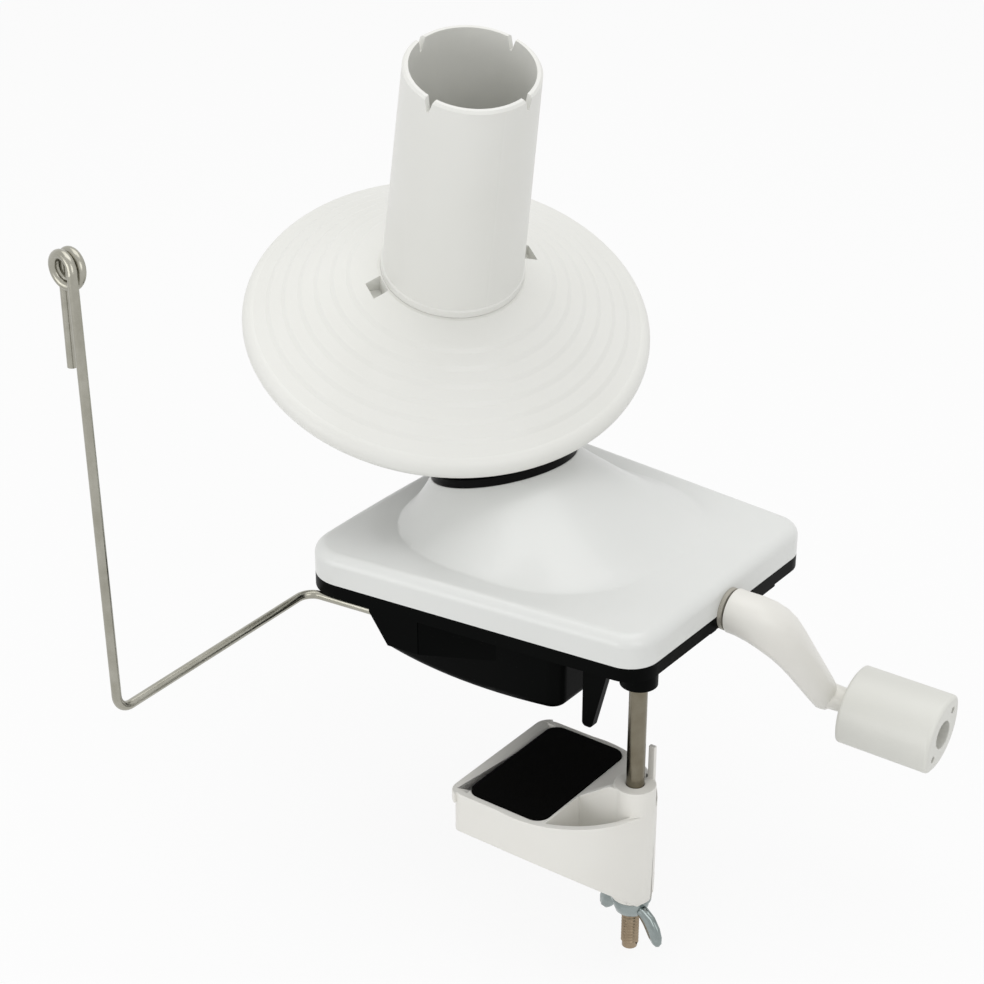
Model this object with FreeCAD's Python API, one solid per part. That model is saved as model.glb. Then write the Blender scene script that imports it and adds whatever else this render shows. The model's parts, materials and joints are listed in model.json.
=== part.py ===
import FreeCAD, Part
import math
import os
from FreeCAD import Vector as V

# Hand-cranked yarn cone winder, clamped to a table edge.
# Units are millimetres. Origin: middle of the flat seat under the gear box that
# rests on the table top. +X points to the crank, +Z up, -Y to the yarn guide.

# ---------------------------------------------------------------- sizes
# housing, seen from above: a trapezoid that widens toward the winding end
CRANK_END_X = 75.0
WIND_END_X = -60.5
CRANK_END_HALF = 55.3
WIND_END_HALF = 70.0
WIND_END_BULGE = 2.5
PLAN_RADIUS = 11.0       # corners at the crank end
WIND_RADIUS = 15.0       # corners at the winding end
SEAM_Z = 32.0            # joint line between cover and base, and crank axis height
COVER_HEIGHT = 11.5
COVER_EDGE_RADIUS = 4.5
COVER_WALL = 2.2
RIM_HEIGHT = 5.0
RIM_FLOOR = 2.5

# gear box under the base; its flat bottom is the table seat
BOX_X0 = -36.0
BOX_X1 = 37.5
BOX_HALF = 47.5
BOX_BULGE = 5.0
BOX_SLOPE = 7.0          # how far the winding-side wall leans out at its top
BOX_RADIUS = 6.0
BOX_WALL = 2.5
BOX_EDGE_RADIUS = 3.0

# table-edge stops
STOP_X = 43.2
STOP_Y = 40.0
STOP_THICK = 3.0
STOP_TOP_W = 12.5
STOP_TIP_W = 4.0
STOP_TIP_R = 1.6
STOP_REACH = 6.0         # below the table seat

# rotor: its axis leans toward the winding end
ROTOR_LEAN = 14.4
RING_X = -20.7
RING_Z = 60.9
APEX_UP = 85.3           # from the ring plane to the point where both axes cross
ROTOR_SHAFT_R = 3.0
SWELL_TOP_R = 27.3       # the cover swells up to a seat for the sun gear
SWELL_POWER = 1.9        # 1 for straight sides, more for hollow ones
SWELL_SQUARE = 2.6       # 2 for an oval foot, more for a squarer one
SWELL_CRANK_GAP = 15.0   # from the foot of the swell to the crank end
SWELL_EDGE_GAP = 6.5     # from the foot of the swell to the other edges
SWELL_SINK = 0.7         # the swell starts this far below the cover's top
SWELL_IN = 1.0           # the hollow inside is drawn in by this
SWELL_SECTIONS = (0.0, 0.12, 0.28, 0.46, 0.64, 0.82, 1.0)
SWELL_POINTS = 24
SEAT_DECK = 4.0          # wall under the sun gear
ROTOR_BUSH_R = 5.0
ROTOR_BUSH_L = 12.0
ROTOR_BUSH_RIM = 3.0
FOOT_BUSH_R = 4.6
FOOT_TOP = 23.5          # below the crank axis, along the rotor axis
FOOT_FLOOR = 30.0
FOOT_BLOCK_R = 7.5
ROTOR_HUB_R = 11.0
ROTOR_HUB_H0 = 2.5
ROTOR_HUB_H1 = 17.0
ROTOR_SHAFT_TOP = 15.0
ROTOR_PIN_R = 1.25
ROTOR_PIN_H = 11.75

# housing screws: places seen from above, and sizes
SCREW_AT = [(60.0, 42.0), (47.0, -48.0), (-50.0, 56.0), (-50.0, -54.0)]
SCREW_R = 1.5
SCREW_HEAD_R = 3.0
SCREW_HEAD_H = 1.8
SCREW_BOSS_R = 4.0
SCREW_TOP = 38.5

# spindle
SPINDLE_TILT = 35.9
SPINDLE_AZIMUTH = -26.9
DISC_DOWN = 42.8         # from the crossing point to the middle of the disc rim
SPINDLE_R = 4.0
SPINDLE_LOW_S = -38.5
SPINDLE_BUSH_R = 6.2
ARM_S0 = -23.5           # underside of the rotor arm, along the spindle axis
ARM_S1 = -12.0
ARM_HALF = 8.0
ARM_EYE_R = 10.0

# yarn disc
DISC_R = 74.9
DISC_RIM_H = 9.0
DISC_RIM_R = 70.9
DISC_TOP_S = 26.9
DISC_SHELL = 3.0
STEP_RADII = (66.5, 60.8, 55.1, 49.4, 43.7, 38.0)
STEP_RISE = 0.55
STEP_RUN = 1.5           # width of the soft slope of each step
HUB_R = 12.0
HUB_LOW_S = -8.5
HUB_NUT_SEAT_R = 8.0
HUB_NUT_SEAT = 3.0
SPIGOT_R = 22.8
SPIGOT_H = 10.0
SPIGOT_WALL = 2.2
SPIGOT_SEAT_R = 27.0
WINDOW_W = 8.0           # blind catch pockets at the foot of the tube
WINDOW_L = 5.5
WINDOW_DEPTH = 6.5
WINDOW_WALL = 1.5
WINDOW_AT = (86.0, 266.0)

# winding tube
TUBE_FOOT_R = 25.8
TUBE_TOP_R = 23.1
TUBE_LENGTH = 88.7
TUBE_WALL = 2.0
SLOT_DEPTH = 5.0
SLOT_W = 3.4
SLOT_AT = (45.0, 135.0, 225.0, 315.0)
TUBE_TURN = -20.0

# bevel gears
CRANK_TEETH = 25
PINION_TEETH = 10
CRANK_GEAR_R = 17.0
CRANK_FACE = 6.0
SUN_TEETH = 34
PLANET_TEETH = 38
SUN_CONE = 85.6
SUN_FACE = 9.0
SUN_BORE_R = 19.5
SUN_FLANGE_R = 27.0
SUN_FLANGE_H = 3.0
PRESSURE = 25.0
ADDENDUM = 0.8
DEDENDUM = 1.05
BACKLASH = 0.16
PINION_HUB = 2.0
SUN_SCREW_AT = (30, 150, 270)
SUN_SCREW_C = 22.0
SUN_SCREW_R = 1.0

# crank
CRANK_SHAFT_R = 3.0
SHAFT_END_X = 88.0
GEAR_BACK_X = 2.0
GEAR_HUB_R = 8.0
GEAR_HUB_X = 11.2
GEAR_PIN_X = 4.4
GEAR_PIN_R = 1.0
COLLAR_R = 5.6
COLLAR_L = 4.0
ARM_PIN_R = 1.25
ARM_PIN_X = 82.5
BUSH_R = 5.2
BUSH_FLANGE_R = 7.6
POST_X0 = 11.5
POST_X1 = 19.5
POST_HALF = 8.0
CHANNEL_WALL = 2.3
CRANK_RADIUS = 62.7
CRANK_DROP = 49.2        # angle of the arm below the horizontal at rest
ARM_X0 = 77.6
ARM_HUB_R = 8.0
NECK_R = 4.5
KNOB_X0 = 104.5
KNOB_L = 36.5
KNOB_A = 15.0
KNOB_B = 9.8
KNOB_TIP = 3.4           # radius of the round at each end of the lens
KNOB_TURN = 46.6
KNOB_EDGE = 1.6
KNOB_RECESS_R = 5.2
KNOB_RECESS = 8.0
PIN_R = 2.5

# clamp
ROD_X = 67.0
ROD_Y = -43.5
ROD_R = 3.175
ROD_TOP_R = 3.0
ROD_SHOULDER_Z = 22.0
ROD_END_Z = -88.0
ROD_BOSS_R = 6.5
ROD_BOSS_Z = 20.5
ROD_WASHER_R = 5.6
ROD_NUT_R = 5.5
THREAD_PITCH = 1.27
THREAD_DEPTH = 0.35
THREAD_TOP_Z = -34.0
ROD_TOP_Z = 38.0
NUT_Z = 31.2
NUT_H = 5.0
JAW_PAD_X = 31.5
JAW_PAD_Y = -45.0
PAD_L = 32.0
PAD_W = 53.5
PAD_T = 2.5
PAD_TOP_Z = -28.0
PAD_PROUD = 0.6
PAD_RADIUS = 5.0
TRAY_WALL = 2.6
TRAY_STRIP = 2.5
TROUGH = 2.0             # depth of the trough along the far side of the pad
LIP_OUT = 1.2
LIP_H = 4.0
JAW_CURVE_X = 60.5       # the curved sides pass through this point
JAW_CURVE_HALF = 21.8
JAW_BOSS_R = 7.3
JAW_BOSS_TURN = 26.0     # where the sides run into the rod boss
JAW_BOSS_TOP = -19.5
JAW_LOW_Z = -66.0
JAW_TRAY_Z = -44.0       # underside at the tray's end
JAW_KEEL = 0.86          # fall of the underside from each side to the middle
JAW_POCKET = 12.0
JAW_WEB_OUT = 5.3        # the gusset stands this far to the near side of the rod
JAW_LEDGE = 1.0          # wall between the pad and the pocket
WASHER_T = 1.2
NUT_HUB_R = 6.5
NUT_HUB_H = 5.4
WING_SPAN = 15.5
WING_DROP = 13.0
WING_T = 2.6
WING_AZIMUTH = -17.0

# yarn guide wire
WIRE_R = 1.6
WIRE_LEG_X0 = -59.0
WIRE_LEG_X1 = -13.5
WIRE_EDGE_IN = 3.4
WIRE_OUT = 97.5
WIRE_BEND = 6.0
WIRE_LEAN = 1.7          # how far the top of the upright leans away from the disc
EYE_Z = 173.3
EYE_R = 5.1
EYE_PITCH = 3.35
EYE_TURNS = 1.5
EYE_AZIMUTH = 3.0       # eye axis, from +Y toward +X
TAIL = 33.0
SOCKET_X0 = -31.0
SOCKET_L = 20.0
SOCKET_W = 9.0
SOCKET_H = 13.0
SOCKET_RAMP = 7.5
SOCKET_NOSE = 1.5        # height of the socket where the wire goes in
SOCKET_SCREW_IN = 4.0    # from the wire toward the middle
SOCKET_BACKING = 12.0    # wall between the socket and the gear box
BACKING_END_X = 14.0     # where that wall has run into the gear box's front
SOCKET_GAP = 0.3         # from the socket's end to the wall that carries on from it
SOCKET_SCREW_R = 1.25
SOCKET_SCREW_HEAD_R = 2.4
SOCKET_SCREW_HEAD_H = 1.4

# fits
RUN = 0.05               # radial, turning or sliding
FIT = 0.02               # radial, fixed

# ---------------------------------------------------------------- helpers
X, Y, Z = V(1, 0, 0), V(0, 1, 0), V(0, 0, 1)


def rad(a):
    return math.radians(a)


def place(shape, origin, zdir, xdir):
    """Put a shape modelled about +Z at the origin into another frame."""
    zd = V(zdir).normalize()
    xd = V(xdir).normalize()
    yd = zd.cross(xd)
    m = FreeCAD.Matrix(xd.x, yd.x, zd.x, origin.x, xd.y, yd.y, zd.y, origin.y,
                       xd.z, yd.z, zd.z, origin.z, 0, 0, 0, 1)
    s = shape.copy()
    s.transformShape(m)
    return s


def lathe(points):
    """Solid of revolution about Z from (radius, height) points. A point with a
    third entry 'arc' is the middle of an arc between its two neighbours."""
    edges = []
    n = len(points)
    i = 0
    while i < n:
        a = points[i]
        b = points[(i + 1) % n]
        if len(b) == 3:
            c = points[(i + 2) % n]
            edges.append(Part.Arc(V(a[0], 0, a[1]), V(b[0], 0, b[1]), V(c[0], 0, c[1])).toShape())
            i += 2
        else:
            edges.append(Part.LineSegment(V(a[0], 0, a[1]), V(b[0], 0, b[1])).toShape())
            i += 1
    face = Part.Face(Part.Wire(edges))
    return face.revolve(V(0, 0, 0), Z, 360)


def cyl(r, a, b):
    d = V(b).sub(a)
    return Part.makeCylinder(r, d.Length, a, d)


def box(x0, x1, y0, y1, z0, z1):
    return Part.makeBox(x1 - x0, y1 - y0, z1 - z0, V(x0, y0, z0))


def prism(wire, z0, z1):
    w = wire.copy()
    w.translate(V(0, 0, z0 - w.BoundBox.ZMin))
    return Part.Face(w).extrude(V(0, 0, z1 - z0))


def upright_edges(s):
    out = []
    for e in s.Edges:
        a, b = e.Vertexes[0].Point, e.Vertexes[-1].Point
        if abs(a.x - b.x) < 1e-6 and abs(a.y - b.y) < 1e-6 and abs(a.z - b.z) > 1e-3:
            out.append(e)
    return out


def edges_at_z(s, z):
    return [e for e in s.Edges if abs(e.BoundBox.ZMin - z) < 1e-4 and abs(e.BoundBox.ZMax - z) < 1e-4]


def poly_face(points):
    return Part.Face(Part.makePolygon([V(*p) for p in points] + [V(*points[0])]))


def slab(points, direction):
    return poly_face(points).extrude(direction)


def hexagon(r, z0, z1):
    pts = [V(r * math.cos(rad(60 * i)), r * math.sin(rad(60 * i)), z0) for i in range(7)]
    return Part.Face(Part.makePolygon(pts)).extrude(V(0, 0, z1 - z0))


def fuse(shapes):
    s = shapes[0].multiFuse(shapes[1:]) if len(shapes) > 1 else shapes[0]
    return s.removeSplitter()


# ---------------------------------------------------------------- bevel teeth
def inv(a):
    return math.tan(a) - a


def tooth_profile(rv, m):
    """Half profile of one tooth in the developed back cone: (radius, half angle)."""
    alpha = rad(PRESSURE)
    rb = rv * math.cos(alpha)
    half = (math.pi * m / 2 - BACKLASH) / (2 * rv)
    root, tip = rv - DEDENDUM * m, rv + ADDENDUM * m
    start = max(root - 0.15 * m, rb * 1.0005)      # the flank runs on into the body

    def angle(r):
        return half + inv(alpha) - inv(math.acos(min(1.0, rb / r)))
    pts = [(root - 0.45 * m, angle(start))]
    for i in range(6):
        r = start + (tip - start) * i / 5.0
        pts.append((r, angle(r)))
    return pts, root


def bevel_gear(apex, axis, ref, teeth, delta, cone, face, phase, blank):
    """Straight bevel gear. apex: where the axes cross; axis: from the apex to the
    gear; ref: toward the mesh; blank: function of the root points giving the
    (radius, axial) outline of the body."""
    axis, ref = V(axis).normalize(), V(ref).normalize()
    side = axis.cross(ref)
    d = rad(delta)
    m = 2 * cone * math.sin(d) / teeth
    rv = cone * math.tan(d)
    prof, root = tooth_profile(rv, m)

    def ray(rho, phi_v, phi0):
        phi = phi0 + phi_v / math.cos(d)
        radial = rho * math.cos(d)
        axial = cone / math.cos(d) - rho * math.sin(d)
        return axis * axial + (ref * math.cos(phi) + side * math.sin(phi)) * radial
    solids = []
    for i in range(teeth):
        phi0 = 2 * math.pi * (i + phase) / teeth
        pitch = ray(rv, 0, phi0).normalize()
        rays = [ray(r, a, phi0) for r, a in prof] + [ray(r, -a, phi0) for r, a in reversed(prof)]
        wires = []
        for dist in (cone - face, cone):
            pts = [apex + q * (dist / q.dot(pitch)) for q in rays]
            wires.append(Part.makePolygon(pts + [pts[0]]))
        solids.append(Part.makeLoft(wires, True, True))
    rr, ra = root * math.cos(d), cone / math.cos(d) - root * math.sin(d)
    g = math.atan2(rr, ra)
    out = cone / math.cos(d - g)
    inn = (cone - face) / math.cos(d - g)
    outline = blank((inn * math.sin(g), inn * math.cos(g)), (out * math.sin(g), out * math.cos(g)))
    body = place(lathe(outline), apex, axis, ref)
    return body.multiFuse(solids).removeSplitter()


# ---------------------------------------------------------------- frames
L = rad(ROTOR_LEAN)
A1 = V(-math.sin(L), 0, math.cos(L))
U1 = V(math.cos(L), 0, math.sin(L))
RING = V(RING_X, 0, RING_Z)
APEX = RING + A1 * APEX_UP
Q_UP = (RING_Z - SEAM_Z) / math.cos(L)        # ring plane above the crank axis, along A1
Q = RING - A1 * Q_UP
S = rad(SPINDLE_TILT)
PSI = rad(SPINDLE_AZIMUTH)
W = U1 * math.cos(PSI) + Y * math.sin(PSI)
A2 = A1 * math.cos(S) + W * math.sin(S)
E2 = W * math.cos(S) - A1 * math.sin(S)       # in the disc plane, toward the mesh
DISC = APEX - A2 * DISC_DOWN


def at_rotor(s):
    return place(s, RING, A1, U1)


def at_spindle(s):
    return place(s, DISC, A2, E2)


# ---------------------------------------------------------------- housing plan
def plan_wire():
    x1, x0, h1, h0 = CRANK_END_X, WIND_END_X, CRANK_END_HALF, WIND_END_HALF
    edges = [Part.LineSegment(V(x0, -h0, 0), V(x1, -h1, 0)).toShape(),
             Part.LineSegment(V(x1, -h1, 0), V(x1, h1, 0)).toShape(),
             Part.LineSegment(V(x1, h1, 0), V(x0, h0, 0)).toShape(),
             Part.Arc(V(x0, h0, 0), V(x0 - WIND_END_BULGE, 0, 0), V(x0, -h0, 0)).toShape()]
    s = Part.Face(Part.Wire(edges)).extrude(V(0, 0, 10))
    ups = upright_edges(s)
    s = s.makeFillet(PLAN_RADIUS, [e for e in ups if e.Vertexes[0].Point.x > 0])
    s = s.makeFillet(WIND_RADIUS, [e for e in upright_edges(s) if abs(e.Vertexes[0].Point.x - x0) < 1e-6])
    return [f for f in s.Faces if abs(f.BoundBox.ZMax) < 1e-6][0].OuterWire


def plan_half(x):
    """Half width of the housing at x."""
    return CRANK_END_HALF + (WIND_END_HALF - CRANK_END_HALF) * (CRANK_END_X - x) / (CRANK_END_X - WIND_END_X)


PLAN = plan_wire()
COVER_TOP = SEAM_Z + COVER_HEIGHT
RIM_Z = SEAM_Z - RIM_HEIGHT
DECK_Z = RIM_Z + RIM_FLOOR


def box_plan(inset):
    x0, x1, h = BOX_X0 - BOX_SLOPE + inset, BOX_X1 - inset, BOX_HALF - inset
    xm = (x0 + x1) / 2
    edges = [Part.Arc(V(x0, -h, 0), V(xm, -h - BOX_BULGE, 0), V(x1, -h, 0)).toShape(),
             Part.LineSegment(V(x1, -h, 0), V(x1, h, 0)).toShape(),
             Part.Arc(V(x1, h, 0), V(xm, h + BOX_BULGE, 0), V(x0, h, 0)).toShape(),
             Part.LineSegment(V(x0, h, 0), V(x0, -h, 0)).toShape()]
    return Part.Wire(edges)


def gear_box(inset, z0, z1):
    s = prism(box_plan(inset), 0, z1)
    s = s.makeFillet(BOX_RADIUS - inset, upright_edges(s))
    far = BOX_HALF + BOX_BULGE + 20
    lean = BOX_SLOPE / RIM_Z
    xb, xt = BOX_X0 + inset, BOX_X0 + inset - lean * z1
    side = slab([(xb - lean * z0, -far, z0), (BOX_X1 + 20, -far, z0), (BOX_X1 + 20, -far, z1), (xt, -far, z1)],
                V(0, 2 * far, 0))
    return s.common(side)


# ---------------------------------------------------------------- yarn guide route
EDGE_DIR = V(CRANK_END_X - WIND_END_X, WIND_END_HALF - CRANK_END_HALF, 0).normalize()
WIRE_Z = RIM_Z - 2.8


def leg_point(x):
    return V(x, -plan_half(x) + WIRE_EDGE_IN / EDGE_DIR.x, WIRE_Z)


def ramp_block(v0, v1, sunk):
    """Block under the rim along the guide socket: v is measured from the wire
    toward the middle of the housing, sunk into the rim from below."""
    n = V(-EDGE_DIR.y, EDGE_DIR.x, 0)
    a = leg_point(SOCKET_X0)
    low = RIM_Z - SOCKET_H
    ramp = [(0, RIM_Z + sunk), (0, RIM_Z - SOCKET_NOSE), (SOCKET_RAMP, low), (SOCKET_L, low), (SOCKET_L, RIM_Z + sunk)]
    pts = [a + n * v0 + EDGE_DIR * u + Z * (z - WIRE_Z) for u, z in ramp]
    return Part.Face(Part.makePolygon(pts + [pts[0]])).extrude(n * (v1 - v0))


SOCKET_OUT = -0.35 * SOCKET_W
SOCKET_IN = 0.65 * SOCKET_W
SOCKET_SCREWS = []
for _x in (SOCKET_X0 + SOCKET_RAMP + 1, SOCKET_X0 + SOCKET_L - 3):
    _p = leg_point(_x) + V(-EDGE_DIR.y, EDGE_DIR.x, 0) * SOCKET_SCREW_IN
    SOCKET_SCREWS.append((_p.x, _p.y))


def base_housing():
    rim = prism(PLAN, RIM_Z, SEAM_Z)
    hollow = prism(PLAN.makeOffset2D(-COVER_WALL), DECK_Z, SEAM_Z + 1)
    outer = gear_box(0, 0, RIM_Z + 1)
    outer = outer.makeFillet(BOX_EDGE_RADIUS, edges_at_z(outer, 0))
    inner = gear_box(BOX_WALL, BOX_WALL, SEAM_Z + 1)
    channel = cyl(BUSH_R + CHANNEL_WALL, V(BOX_X1 - BOX_WALL, 0, SEAM_Z), V(CRANK_END_X, 0, SEAM_Z))
    boss = cyl(ROD_BOSS_R, V(ROD_X, ROD_Y, ROD_BOSS_Z), V(ROD_X, ROD_Y, DECK_Z))
    stops = []
    for sy in (-1, 1):
        y0 = sy * STOP_Y - STOP_THICK / 2
        stop = slab([(STOP_X, y0, RIM_Z + 1), (STOP_X + STOP_TOP_W, y0, RIM_Z + 1),
                     (STOP_X + STOP_TIP_W, y0, -STOP_REACH), (STOP_X, y0, -STOP_REACH)], V(0, STOP_THICK, 0))
        tip = [e for e in edges_at_z(stop, -STOP_REACH) if e.BoundBox.YLength > STOP_THICK / 2]
        stops.append(stop.makeFillet(STOP_TIP_R, tip))
    rib = box(CRANK_END_X - 6, CRANK_END_X - 1.5, 12, 36, RIM_Z - 2.5, RIM_Z + 1)
    # the wall behind the guide socket, running into the gear box
    backing = ramp_block(SOCKET_IN + FIT, SOCKET_IN + SOCKET_BACKING, 1.0)
    n = V(-EDGE_DIR.y, EDGE_DIR.x, 0)
    end = leg_point(SOCKET_X0) + EDGE_DIR * SOCKET_L + V(0, 0, RIM_Z - SOCKET_H - WIRE_Z)
    past, within = EDGE_DIR * SOCKET_GAP, EDGE_DIR * -0.5
    corners = [end + past + n * SOCKET_OUT, V(BACKING_END_X, 1 - BOX_HALF - BOX_BULGE, RIM_Z - SOCKET_H),
               end + within + n * (SOCKET_IN + SOCKET_BACKING), end + within + n * (SOCKET_IN + FIT),
               end + past + n * (SOCKET_IN + FIT)]
    wedge = slab(corners, V(0, 0, SOCKET_H + 1))
    # the gear box stands back from the socket wherever it comes near
    seat = [end + past + n * SOCKET_OUT, end + past + n * (SOCKET_IN + FIT)]
    seat = [seat[0] - n * SOCKET_GAP, seat[1], seat[1] - EDGE_DIR * (SOCKET_L + 2 * SOCKET_GAP),
            seat[0] - n * SOCKET_GAP - EDGE_DIR * (SOCKET_L + 2 * SOCKET_GAP)]
    seat = slab([V(p.x, p.y, -1) for p in seat], V(0, 0, RIM_Z + 1))
    s = rim.multiFuse([outer, channel, boss, rib, backing, wedge] + stops)
    s = s.cut(hollow).cut(inner).cut(seat)
    post = box(POST_X0, POST_X1, -POST_HALF, POST_HALF, BOX_WALL - 0.5, SEAM_Z)
    foot = cyl(FOOT_BLOCK_R, Q - A1 * (FOOT_FLOOR + 2), Q - A1 * FOOT_TOP)
    foot = foot.common(box(Q.x - 20, Q.x + 30, -20, 20, BOX_WALL / 2, SEAM_Z))
    s = s.multiFuse([post, foot])
    bore = cyl(BUSH_R + FIT, V(POST_X0 - 1, 0, SEAM_Z), V(CRANK_END_X + 1, 0, SEAM_Z))
    above = box(POST_X0 - 2, CRANK_END_X + 2, -POST_HALF - 4, POST_HALF + 4, SEAM_Z, SEAM_Z + 12)
    s = s.cut(bore.fuse(above))
    s = s.cut(cyl(FOOT_BUSH_R + FIT, Q - A1 * FOOT_FLOOR, Q - A1 * 10))
    s = s.cut(cyl(ROD_TOP_R + FIT, V(ROD_X, ROD_Y, 0), V(ROD_X, ROD_Y, SEAM_Z)))
    s = s.cut(cyl(ROD_R + FIT, V(ROD_X, ROD_Y, 0), V(ROD_X, ROD_Y, ROD_SHOULDER_Z)))
    for x, y in SCREW_AT:
        s = s.cut(cyl(SCREW_R + FIT, V(x, y, 0), V(x, y, SEAM_Z)))
    for x, y in SOCKET_SCREWS:
        s = s.cut(cyl(SOCKET_SCREW_R + FIT, V(x, y, RIM_Z - 1), V(x, y, SEAM_Z)))
    return s.removeSplitter()


def squared(c):
    return math.copysign(abs(c) ** (2 / SWELL_SQUARE), c)


def swell(inset, z_foot, seat_drop):
    """Smooth rise from a rounded foot in the cover's top to a round seat square to the
    rotor axis."""
    x0, x1 = WIND_END_X + SWELL_EDGE_GAP, CRANK_END_X - SWELL_CRANK_GAP
    foot_c = V((x0 + x1) / 2, 0, z_foot)
    fx, fy = (x1 - x0) / 2 - inset, plan_half(foot_c.x) - SWELL_EDGE_GAP - inset
    seat_c = RING - A1 * seat_drop
    seat_r = SWELL_TOP_R - inset
    wires = []
    for t in SWELL_SECTIONS:
        rise = t ** SWELL_POWER
        pts = []
        for i in range(SWELL_POINTS):
            a = 2 * math.pi * i / SWELL_POINTS
            foot = foot_c + V(fx * squared(math.cos(a)), fy * squared(math.sin(a)), 0)
            seat = seat_c + U1 * (seat_r * math.cos(a)) + Y * (seat_r * math.sin(a))
            # the height above the foot follows a plane that tips over to the seat's
            over = foot * (1 - t) + seat * t
            plane = seat_c.z + (over.x - seat_c.x) * math.tan(L)
            pts.append(V(over.x, over.y, foot.z * (1 - rise) + plane * rise))
        bs = Part.BSplineCurve()
        bs.interpolate(pts, PeriodicFlag=True)
        wires.append(Part.Wire(bs.toShape()))
    return Part.makeLoft(wires, True, False)


def top_cover():
    outer = prism(PLAN, SEAM_Z, COVER_TOP)
    outer = outer.makeFillet(COVER_EDGE_RADIUS, edges_at_z(outer, COVER_TOP))
    roof = COVER_TOP - COVER_WALL
    inner = prism(PLAN.makeOffset2D(-COVER_WALL), SEAM_Z - 1, roof)
    inner = inner.makeFillet(COVER_EDGE_RADIUS - COVER_WALL, edges_at_z(inner, roof))
    s = outer.fuse(swell(0, COVER_TOP - SWELL_SINK, 0))
    s = s.cut(inner).cut(swell(SWELL_IN, roof - SWELL_SINK, SEAT_DECK))
    # inner web over the crank bush, screw bosses
    reach = swell(SWELL_IN / 2, roof - SWELL_SINK + 1.0, SEAT_DECK / 2)
    high = box(POST_X0, POST_X1, -POST_HALF, POST_HALF, roof - SWELL_SINK + 0.5, RING_Z + 20).common(reach)
    web = box(POST_X0, POST_X1, -POST_HALF, POST_HALF, SEAM_Z, roof + 0.5)
    parts = [web, high]
    for x, y in SCREW_AT:
        parts.append(cyl(SCREW_BOSS_R, V(x, y, DECK_Z), V(x, y, roof + 0.5)))
    s = s.multiFuse(parts)
    s = s.cut(cyl(BUSH_R + FIT, V(POST_X0 - 1, 0, SEAM_Z), V(CRANK_END_X + 1, 0, SEAM_Z)))
    for x, y in SCREW_AT:
        s = s.cut(cyl(SCREW_R + FIT, V(x, y, DECK_Z - 1), V(x, y, SCREW_TOP)))
    s = s.cut(at_rotor(cyl(ROTOR_BUSH_R + FIT, V(0, 0, -SEAT_DECK - ROTOR_BUSH_L), V(0, 0, 2))))
    rim_r = ROTOR_BUSH_R + ROTOR_BUSH_RIM
    collar = at_rotor(lathe([(ROTOR_BUSH_R + FIT, -0.5), (rim_r, -0.5), (rim_r, -ROTOR_BUSH_L),
                             (ROTOR_BUSH_R + FIT, -ROTOR_BUSH_L)]))
    s = s.fuse(collar)
    for a in SUN_SCREW_AT:
        p = V(SUN_SCREW_C * math.cos(rad(a)), SUN_SCREW_C * math.sin(rad(a)), 0)
        s = s.cut(at_rotor(cyl(SUN_SCREW_R + FIT, p + Z, p - Z * (SEAT_DECK + 1))))
    return s.removeSplitter()


def screw(x, y, z_head, z_tip, r, head_r, head_h):
    s = cyl(r, V(x, y, z_head), V(x, y, z_tip)).fuse(cyl(head_r, V(x, y, z_head - head_h), V(x, y, z_head)))
    slot = box(x - 0.35, x + 0.35, y - head_r * 0.7, y + head_r * 0.7, z_head - head_h - 0.1, z_head - head_h + 0.7)
    cross = box(x - head_r * 0.7, x + head_r * 0.7, y - 0.35, y + 0.35, z_head - head_h - 0.1, z_head - head_h + 0.7)
    return s.cut(slot.fuse(cross)).removeSplitter()


def bent_rod(points, radius, bend):
    """Round wire along straight runs joined by tangent arcs."""
    edges = []
    last = points[0]
    for i in range(1, len(points) - 1):
        a, b, c = points[i - 1], points[i], points[i + 1]
        u, w = (a - b).normalize(), (c - b).normalize()
        turn = math.pi - math.acos(max(-1, min(1, u.dot(w))))
        cut = bend * math.tan(turn / 2)
        p, q = b + u * cut, b + w * cut
        mid = (u + w).normalize()
        centre = b + mid * (bend / math.cos(turn / 2))
        edges.append(Part.LineSegment(last, p).toShape())
        edges.append(Part.Arc(p, centre - mid * bend, q).toShape())
        last = q
    edges.append(Part.LineSegment(last, points[-1]).toShape())
    path = Part.Wire(edges)
    start = (points[1] - points[0]).normalize()
    prof = Part.Wire(Part.makeCircle(radius, points[0], start))
    return path.makePipeShell([prof], True, True)


def yarn_guide_wire():
    corner = leg_point(WIRE_LEG_X0)
    inner = leg_point(WIRE_LEG_X1)
    foot = corner + V(0.04, -1, 0).normalize() * WIRE_OUT
    ax = V(math.sin(rad(EYE_AZIMUTH)), math.cos(rad(EYE_AZIMUTH)), 0)      # eye axis
    q = V(ax.y, -ax.x, 0)                                                  # sideways, in the eye's plane
    top = V(foot.x - 0.8 * WIRE_LEAN, foot.y - 0.6 * WIRE_LEAN, EYE_Z)
    rod = bent_rod([inner, corner, foot, top], WIRE_R, WIRE_BEND)
    # the eye: one and a half turns about ax, starting at the upright
    turns = EYE_TURNS
    helix = Part.makeHelix(EYE_PITCH, EYE_PITCH * turns, EYE_R)
    start = V(EYE_R, 0, 0)
    tangent = V(0, EYE_R * 2 * math.pi, EYE_PITCH).normalize()
    prof = Part.Wire(Part.makeCircle(WIRE_R, start, tangent))
    coil = Part.Wire(helix.Edges).makePipeShell([prof], True, True)
    coil = place(coil, top - q * EYE_R, ax * -1, q)
    # that helix runs away from the disc, so it is mirrored
    coil = coil.mirror(top, ax)
    p_end = top - q * (2 * EYE_R) + ax * (EYE_PITCH * turns)
    tail = cyl(WIRE_R, p_end, p_end - Z * TAIL)
    balls = [Part.makeSphere(WIRE_R + 0.01, top), Part.makeSphere(WIRE_R + 0.01, p_end)]
    return fuse([rod, coil, tail] + balls), dict(corner=corner, foot=foot, top=top, ax=ax, q=q, p_end=p_end, inner=inner)


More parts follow.
